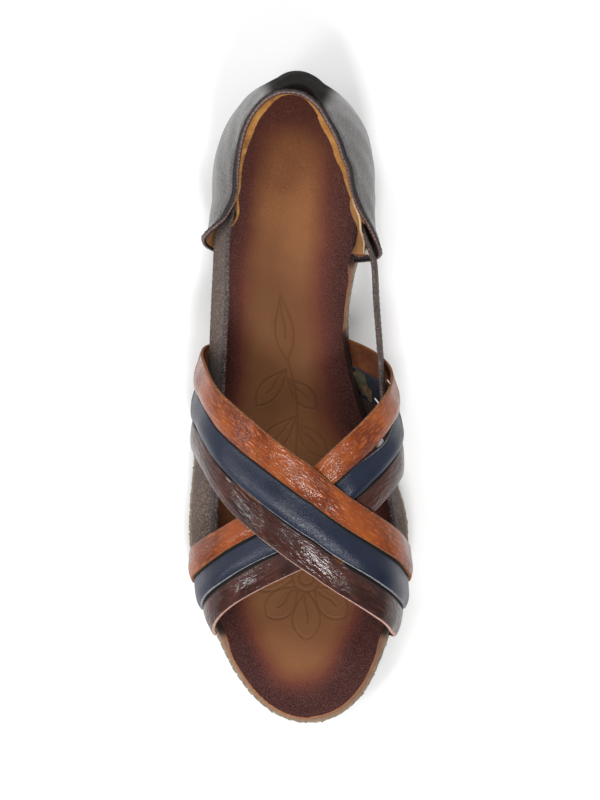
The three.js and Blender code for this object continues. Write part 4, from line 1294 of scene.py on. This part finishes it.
WALL = 2.2  # leather and lining together
CORNER = {"around": 0.022, "share": 0.2}  # rounding of the two front corners, as shares of the counter
# Folded edge: its middle's offset from the counter's inner face, its half width and its half height.
ROLL = {"centre": 1.7, "half": 1.0, "height": 0.8}
TAB = {"centre": 0.484, "half": 0.058, "thick": 1.25}
SUEDE_THICK = 0.8
BARE_FRONT = 0.062  # share of the way round that has no lining, inside the medial front


def top_share(around):
    """Height share of the counter's edge: 1 along the collar, rounded off at the front corners."""
    t = np.clip(np.minimum(around, 1 - around) / CORNER["around"], 0, 1)
    return 1 - CORNER["share"] * (1 - np.sqrt(1 - (1 - t) ** 2))


def outer_offset(around, below):
    """Offset of the leather's outer side from the inner face, by the distance below the collar."""
    pad = 0.25 * bell(below, 3.5, 2.6)
    crease = 1 - smooth(below, 0.3, 1.7)
    waves = 0.22 * np.sin(around * 46 + below * 0.21) * np.sin(below * 0.16 + around * 9)
    front = np.minimum(around, 1 - around) * 200
    return WALL + pad - crease + waves * smooth(below, 1, 5) - 0.7 * (1 - smooth(front, 0.2, 1.6))


def make_shell():
    rows, columns = 280, 60
    around = np.linspace(0, 1, rows + 1)[:, None]
    share = top_share(around) * (1 - (1 - np.linspace(0, 1, columns + 1)) ** 1.35)
    out, base = counter_out(around, share), on_counter(around, share)
    height = counter["height"](around)
    below = (top_share(around) - share) * height
    outer = base + out * outer_offset(around, below)[..., None]
    spots, faces, kinds = sheet_grid(outer, base + out * SUEDE_THICK)
    quads, bare = rows * columns, columns * int(rows * BARE_FRONT)
    kinds[quads:quads + bare] = [3] * bare
    run = distances(outer[:, columns // 3])
    # Painted shade: dark fades in round the back beside the heel tab, and marks the folded edge's shadow just
    # under the collar; the coat is taken off there as well.
    back = 1 - smooth(np.abs(around - TAB["centre"] - 0.004), 0.052, 0.135)
    crease = 1 - smooth(below, 0.9, 2.2)
    dark = np.clip(back + crease, 0, 1)
    shell = make("counter_shell", (spots, faces), [COUNTER_LEATHER, OCHRE, EDGE_DARK, ASH], kinds,
                 uv=strip(run[:, None], height * share), values={"dark": np.stack([dark, 0 * dark])})
    piece(shell, "counter")


def make_heel_tab():
    """Strip of dark leather over the back seam."""
    rows, columns = 36, 60
    place = np.linspace(-1, 1, rows + 1)[:, None]
    share = np.linspace(0.0, 0.978, columns + 1)[None]
    around = TAB["centre"] + TAB["half"] * place * (1 + 0.12 * (1 - share))
    out, base = counter_out(around, share), on_counter(around, share)
    below = (1 - share) * counter["height"](around)
    rise = TAB["thick"] * np.maximum(1 - np.abs(place) ** 2.2, 0) ** 1.3 * smooth(below, 0.4, 3.0)
    outer = base + out * (outer_offset(around, below) - 0.04 + rise)[..., None]
    form = sheet_grid(outer, base + out * (WALL - 1.0))
    trim(make("heel_tab", form, [TAB_LEATHER], uv=strip(place * 10, share * 56)))


def edge_path(step=0.45):
    """Even stops along the counter's edge: up the medial front, round the collar, down the lateral front."""
    turn = np.linspace(0, np.pi / 2, 40)
    foot = np.linspace(0.0, 1 - CORNER["share"], 60)
    arc = [CORNER["around"] * (1 - np.cos(turn)), 1 - CORNER["share"] * (1 - np.sin(turn))]
    collar = np.linspace(CORNER["around"], 1 - CORNER["around"], 1500)[1:-1]
    around = np.concatenate([0 * foot, arc[0], collar, 1 - arc[0][::-1], 0 * foot + 1])
    share = np.concatenate([foot, arc[1], np.ones(len(collar)), arc[1][::-1], foot[::-1]])
    total = distances(on_counter(around, share))
    run = np.linspace(0, total[-1], round(total[-1] / step) + 1)
    around, share = np.interp(run, total, around), np.interp(run, total, share)
    spots = on_counter(around, share)
    out = counter_out(around, np.clip(share, 0, 0.999))
    tangent = unit(np.gradient(spots, axis=0))
    side = unit(np.cross(tangent, out))
    inward = spots - on_counter(np.clip(around, 0.05, 0.95), share * 0.8)
    side = np.where((side * inward).sum(-1, keepdims=True) < 0, -side, side)
    square = np.cross(side, tangent)
    return run, spots, unit(square * np.sign((square * out).sum(-1, keepdims=True))), side


def make_rolled_edge():
    run, spots, out, side = edge_path()
    section = np.linspace(0, TURN, 18, endpoint=False)
    pucker = 0.10 * np.sin(run * TURN / 2.9) + 0.05 * np.sin(run * TURN / 1.3 + 1)
    half = ROLL["half"] * (1 + 0.04 * np.sin(run / 7.0))[:, None] + pucker[:, None] * (np.cos(section) > 0.3)
    squared = np.abs(np.cos(section)) ** 0.8 * np.sign(np.cos(section))
    rise = np.abs(np.sin(section)) ** 0.9 * np.sign(np.sin(section))
    height = ROLL["height"] + 0.06 * np.sin(run * TURN / 2.2 + 0.4)
    loops = ((spots + out * ROLL["centre"])[:, None] + out[:, None] * (half * squared)[..., None]
             + side[:, None] * (height[:, None] * rise)[..., None])
    # dark is painted shade down both sides of the fold.
    roll = make("counter_edge", loft(loops), [EDGE_LEATHER], uv=strip(run[:, None], section * 0.9),
                values={"dark": smooth(np.abs(squared), 0.35, 0.85)})
    trim(roll)
    # Stitches along the top of the fold.
    parts = []
    line = spots + out * (ROLL["centre"] + 0.05) + side * (ROLL["height"] + 0.06)
    pitch, length, clear = 1.7, 1.15, 8.0
    for start in np.arange(clear, run[-1] - clear, pitch):
        i, j = np.searchsorted(run, (start, start + length))
        a = line[i] + (line[i + 1] - line[i]) * ((start - run[i]) / (run[i + 1] - run[i]))
        b = line[j - 1] + (line[j] - line[j - 1]) * ((start + length - run[j - 1]) / (run[j] - run[j - 1]))
        parts.append(capsule(a, b, 0.22, side[i]))
    trim(make("collar_stitches", joined(parts), [THREAD]))


LINING = table(  # how far the lining's raw edge stands in from the folded edge
    "around reach",
    (0.045, 1.0), (0.08, 1.9), (0.12, 2.4), (0.16, 2.8), (0.2, 3.0), (0.26, 3.0), (0.33, 2.8), (0.4, 1.9),
    (0.46, 0.9), (0.5, 0.7), (0.54, 1.1), (0.6, 2.3), (0.67, 3.1), (0.73, 3.1), (0.8, 2.5), (0.84, 2.1),
    (0.88, 1.8), (0.92, 1.4), (0.938, 0.9),
)


def make_lining():
    rows, columns, lip_columns = 420, 22, 7
    around = np.linspace(LINING[0]["around"], LINING[-1]["around"], rows + 1)[:, None]
    reach = track(LINING, "reach", "around")(around)
    ragged = (0.05 * np.sin(around * 260) + 0.05 * np.sin(around * 611 + 1) + 0.05 * np.sin(around * 1117 + 2)
              + 0.16 * np.sin(around * 43 + 0.5) + 0.05 * np.sin(around * 97 + 3 * np.sin(around * 31)))
    reach = reach + ragged * smooth(reach, 0.4, 2.0)
    share = np.linspace(0, 0.985, columns + 1)[None]
    out, wall = counter_out(around, share), on_counter(around, share)
    # From the wall's top the lining turns inwards in a lip with a ragged edge.
    top, flat_out, up = wall[:, -1:], unit(out[:, -1:] * np.array([1, 1, 0])), np.array([0, 0, 1.0])
    t = np.linspace(0, 1, lip_columns + 1)
    fall = (0.35 - t**1.6 * np.minimum(reach / 2.5, 1))[..., None]
    offset = (ROLL["centre"] - ROLL["half"] + 0.25 - (reach + 0.1) * t)[..., None]
    lip_top = top + flat_out * offset + fall * up
    lip_under = top + flat_out * np.minimum(offset, 0.05) + (fall - SUEDE_THICK) * up
    front = np.concatenate([wall + out * 0.05, lip_under], axis=1)
    back = np.concatenate([wall + out * (SUEDE_THICK - 0.05), lip_top], axis=1)
    trim(make("counter_lining", sheet_grid(front, back), [OCHRE]))


# Front ends of the lining, which hang loose inside the gores: top and foot curves through a few
# (x, along, z above the featherline), and the medial one's front end.
FLAP_MEDIAL = (
    ((23.3, 45.6, 36.5), (24.1, 48.8, 35.0), (25.6, 52.2, 33.0), (26.2, 55.2, 31.0), (26.5, 58.6, 28.0),
     (27.7, 61.4, 24.5), (29.0, 66.8, 19.5)),
    ((22.7, 45.8, 35.0), (22.5, 48.8, 30.0), (23.5, 52.4, 24.0), (25.1, 55.6, 16.0), (25.8, 58.4, 5.0),
     (25.0, 62.4, 0.5), (24.2, 67.0, 0.5)),
)
FLAP_LATERAL = (
    ((-21.7, 45.0, 33.5), (-21.4, 48.0, 31.5), (-21.3, 51.0, 29.0), (-22.0, 53.6, 26.5), (-24.0, 56.4, 22.5)),
    ((-27.6, 44.0, 0.5), (-27.5, 47.0, 0.5), (-27.4, 50.0, 0.5), (-27.4, 53.0, 0.5), (-27.3, 56.6, 0.5)),
)
HEM = ((24.3, 66.9, 1.6), (25.3, 67.5, 6.0), (26.6, 67.6, 11.0), (27.8, 67.4, 15.5), (28.7, 66.9, 19.0))
HEM_RADIUS = 0.62


def ruled(curves, rows, sag, curl, columns=26):
    """Closed suede sheet between a top curve and a foot curve."""
    t, share = np.linspace(0, 1, rows + 1)[:, None], np.linspace(0, 1, columns + 1)
    ends = []
    for dots in curves:
        stops = np.linspace(0, 1, len(dots))
        way = tracks(table("at x along z", *((at, *dot) for at, dot in zip(stops, dots))), "at")
        ends.append(points(way["x"](t), way["along"](t), way["z"](t)))
    grid = ends[1] * (1 - share[:, None]) + ends[0] * share[:, None]
    normal = unit(np.cross(np.gradient(grid, axis=0), np.gradient(grid, axis=1)))
    belly = np.sin(share * np.pi)
    waves = np.sin(t * 11 + 1) * 0.25 * belly + sag * belly - curl * smooth(t, 0.80, 1.0) ** 2
    grid = grid + normal * waves[..., None]
    grid[..., 2] += featherline(np.maximum(grid[..., 1], 0))
    return sheet_grid(grid + normal * SUEDE_THICK / 2, grid - normal * SUEDE_THICK / 2)


def make_flap(name, curves, rows, sag, curl, edge, hems):
    form = ruled(curves, rows, sag, curl)
    flap = make(name, form, [OCHRE, edge], [int(kind == 2) for kind in form[2]])
    trim(flap)


def make_hem():
    """Hem round the medial flap's front end."""
    ends = np.array(HEM)
    ends[:, 2] += featherline(ends[:, 1])
    hem = make("lining_hem", joined(capsule(a, b, HEM_RADIUS) for a, b in zip(ends, ends[1:])), [RUSSET])
    trim(hem)
    return hem


# ---- elastic gores ----

GORE_THICK = 1.5


def make_gore(name, rows):
    """Elastic band, sewn to the counter and the sole."""
    gore = tracks(rows)
    outwards = math.copysign(1, rows[0]["lowX"])
    lengths, columns = 200, 26
    along = np.linspace(rows[0]["along"], rows[-1]["along"], lengths + 1)[:, None]
    share = np.linspace(0, 1, columns + 1)[None]
    low = np.stack([gore["lowX"](along), gore["lowZ"](along)], axis=-1)
    high = np.stack([gore["highX"](along), gore["highZ"](along)], axis=-1)
    up = unit(high - low)
    middle = low * (1 - share[..., None]) + high * share[..., None]
    width = np.linalg.norm(high - low, axis=-1)
    near_edge = np.minimum(share, 1 - share) * width
    thin = 1 - 0.55 * bell(near_edge, 0, 0.45)
    welt = 0.18 * bell(near_edge, 1.1, 0.5)  # selvedge along both edges
    rib = 0.05 * np.sin((share * width - along * 0.5) * TURN / 1.25)
    knots = 0.03 * np.sin(along * TURN / 0.93 + share * width * 2.1)

    def face(side):
        bow = 4 * gore["bow"](along) * share * (1 - share)
        away = side * (GORE_THICK / 2 * thin + welt + rib + knots) + bow
        x = middle[..., 0] + outwards * up[..., 1] * away
        z = middle[..., 1] - outwards * up[..., 0] * away
        return points(x, along, featherline(along) + np.maximum(SEAT_GAP / 3, z))

    # Painted shade: a dark bluish band just under the top edge, where the band turns in.
    selvedge_shade = bell(share * width - width, -1.2, 0.9)
    band = make(name + "_band", sheet_grid(face(1), face(-1)), [KNIT], uv=strip(along, share * width),
                values={"selvedge_shade": selvedge_shade})
    piece(band, name)


# ---- assembly ----

make_sole()
pad_outlines = make_pads()
make_heel_ring()
make_tread(pad_outlines)
make_insole()
for third, kind in enumerate(STRAP_KINDS):
    for band in ("under", "over"):
        make_strap(kind, third, band)
make_patch()
make_frays()
make_shell()
make_heel_tab()
make_rolled_edge()
make_lining()
make_flap("lining_flap_medial", FLAP_MEDIAL, 50, -0.4, 1.2, EDGE_CREAM, [make_hem()])
make_flap("lining_flap_lateral", FLAP_LATERAL, 40, 0.5, 0.0, OCHRE, [])
make_gore("gore_medial", GORE_MEDIAL)
make_gore("gore_lateral", GORE_LATERAL)

# ---- stage, light and camera ----

scene = bpy.context.scene


def area_light(name, place, size, power):
    light = bpy.data.lights.new(name, "AREA")
    light.shape, light.size, light.size_y = "RECTANGLE", size[0], size[1]
    light.energy = power
    obj = bpy.data.objects.new(name, light)
    obj.location = place
    obj.rotation_euler = (Vector((0, 0, 0.03)) - Vector(place)).to_track_quat("-Z", "Y").to_euler()
    scene.collection.objects.link(obj)


floor_mesh = bpy.data.meshes.new("floor")
floor_mesh.from_pydata([(-6, -6, 0), (6, -6, 0), (6, 6, 0), (-6, 6, 0)], [], [(0, 1, 2, 3)])
floor_mesh.materials.append(floor_material())
floor = bpy.data.objects.new("floor", floor_mesh)
floor.location.z = cad_bounds[0][2] - 0.0002
scene.collection.objects.link(floor)

studio = bpy.data.worlds.new("studio")
studio.use_nodes = True
background = studio.node_tree.nodes["Background"]
background.inputs["Color"].default_value = (1.0, 1.0, 1.0, 1)
background.inputs["Strength"].default_value = 0.40
scene.world = studio
scene.view_settings.view_transform = "Standard"

area_light("front", (0.12, -0.98, 1.42), (0.36, 0.28), 17)
area_light("front_left", (-1.15, -0.85, 1.05), (0.42, 0.36), 9)
area_light("top", (-0.05, 1.00, 1.45), (0.9, 0.6), 10)
area_light("back", (-0.15, 1.25, 1.10), (3.0, 1.7), 7)
area_light("left", (-1.30, 0.10, 1.00), (1.2, 1.8), 7)
area_light("right", (1.30, 0.10, 1.00), (1.2, 1.8), 3)

camera_data = bpy.data.cameras.new("camera")
camera_data.sensor_width = 36
camera_data.lens = 346
camera_data.clip_end = 20
camera = bpy.data.objects.new("camera", camera_data)
low, high = cad_bounds
camera.location = ((low[0] + high[0]) / 2, (low[1] + high[1]) / 2, 3.05)
scene.collection.objects.link(camera)
scene.camera = camera
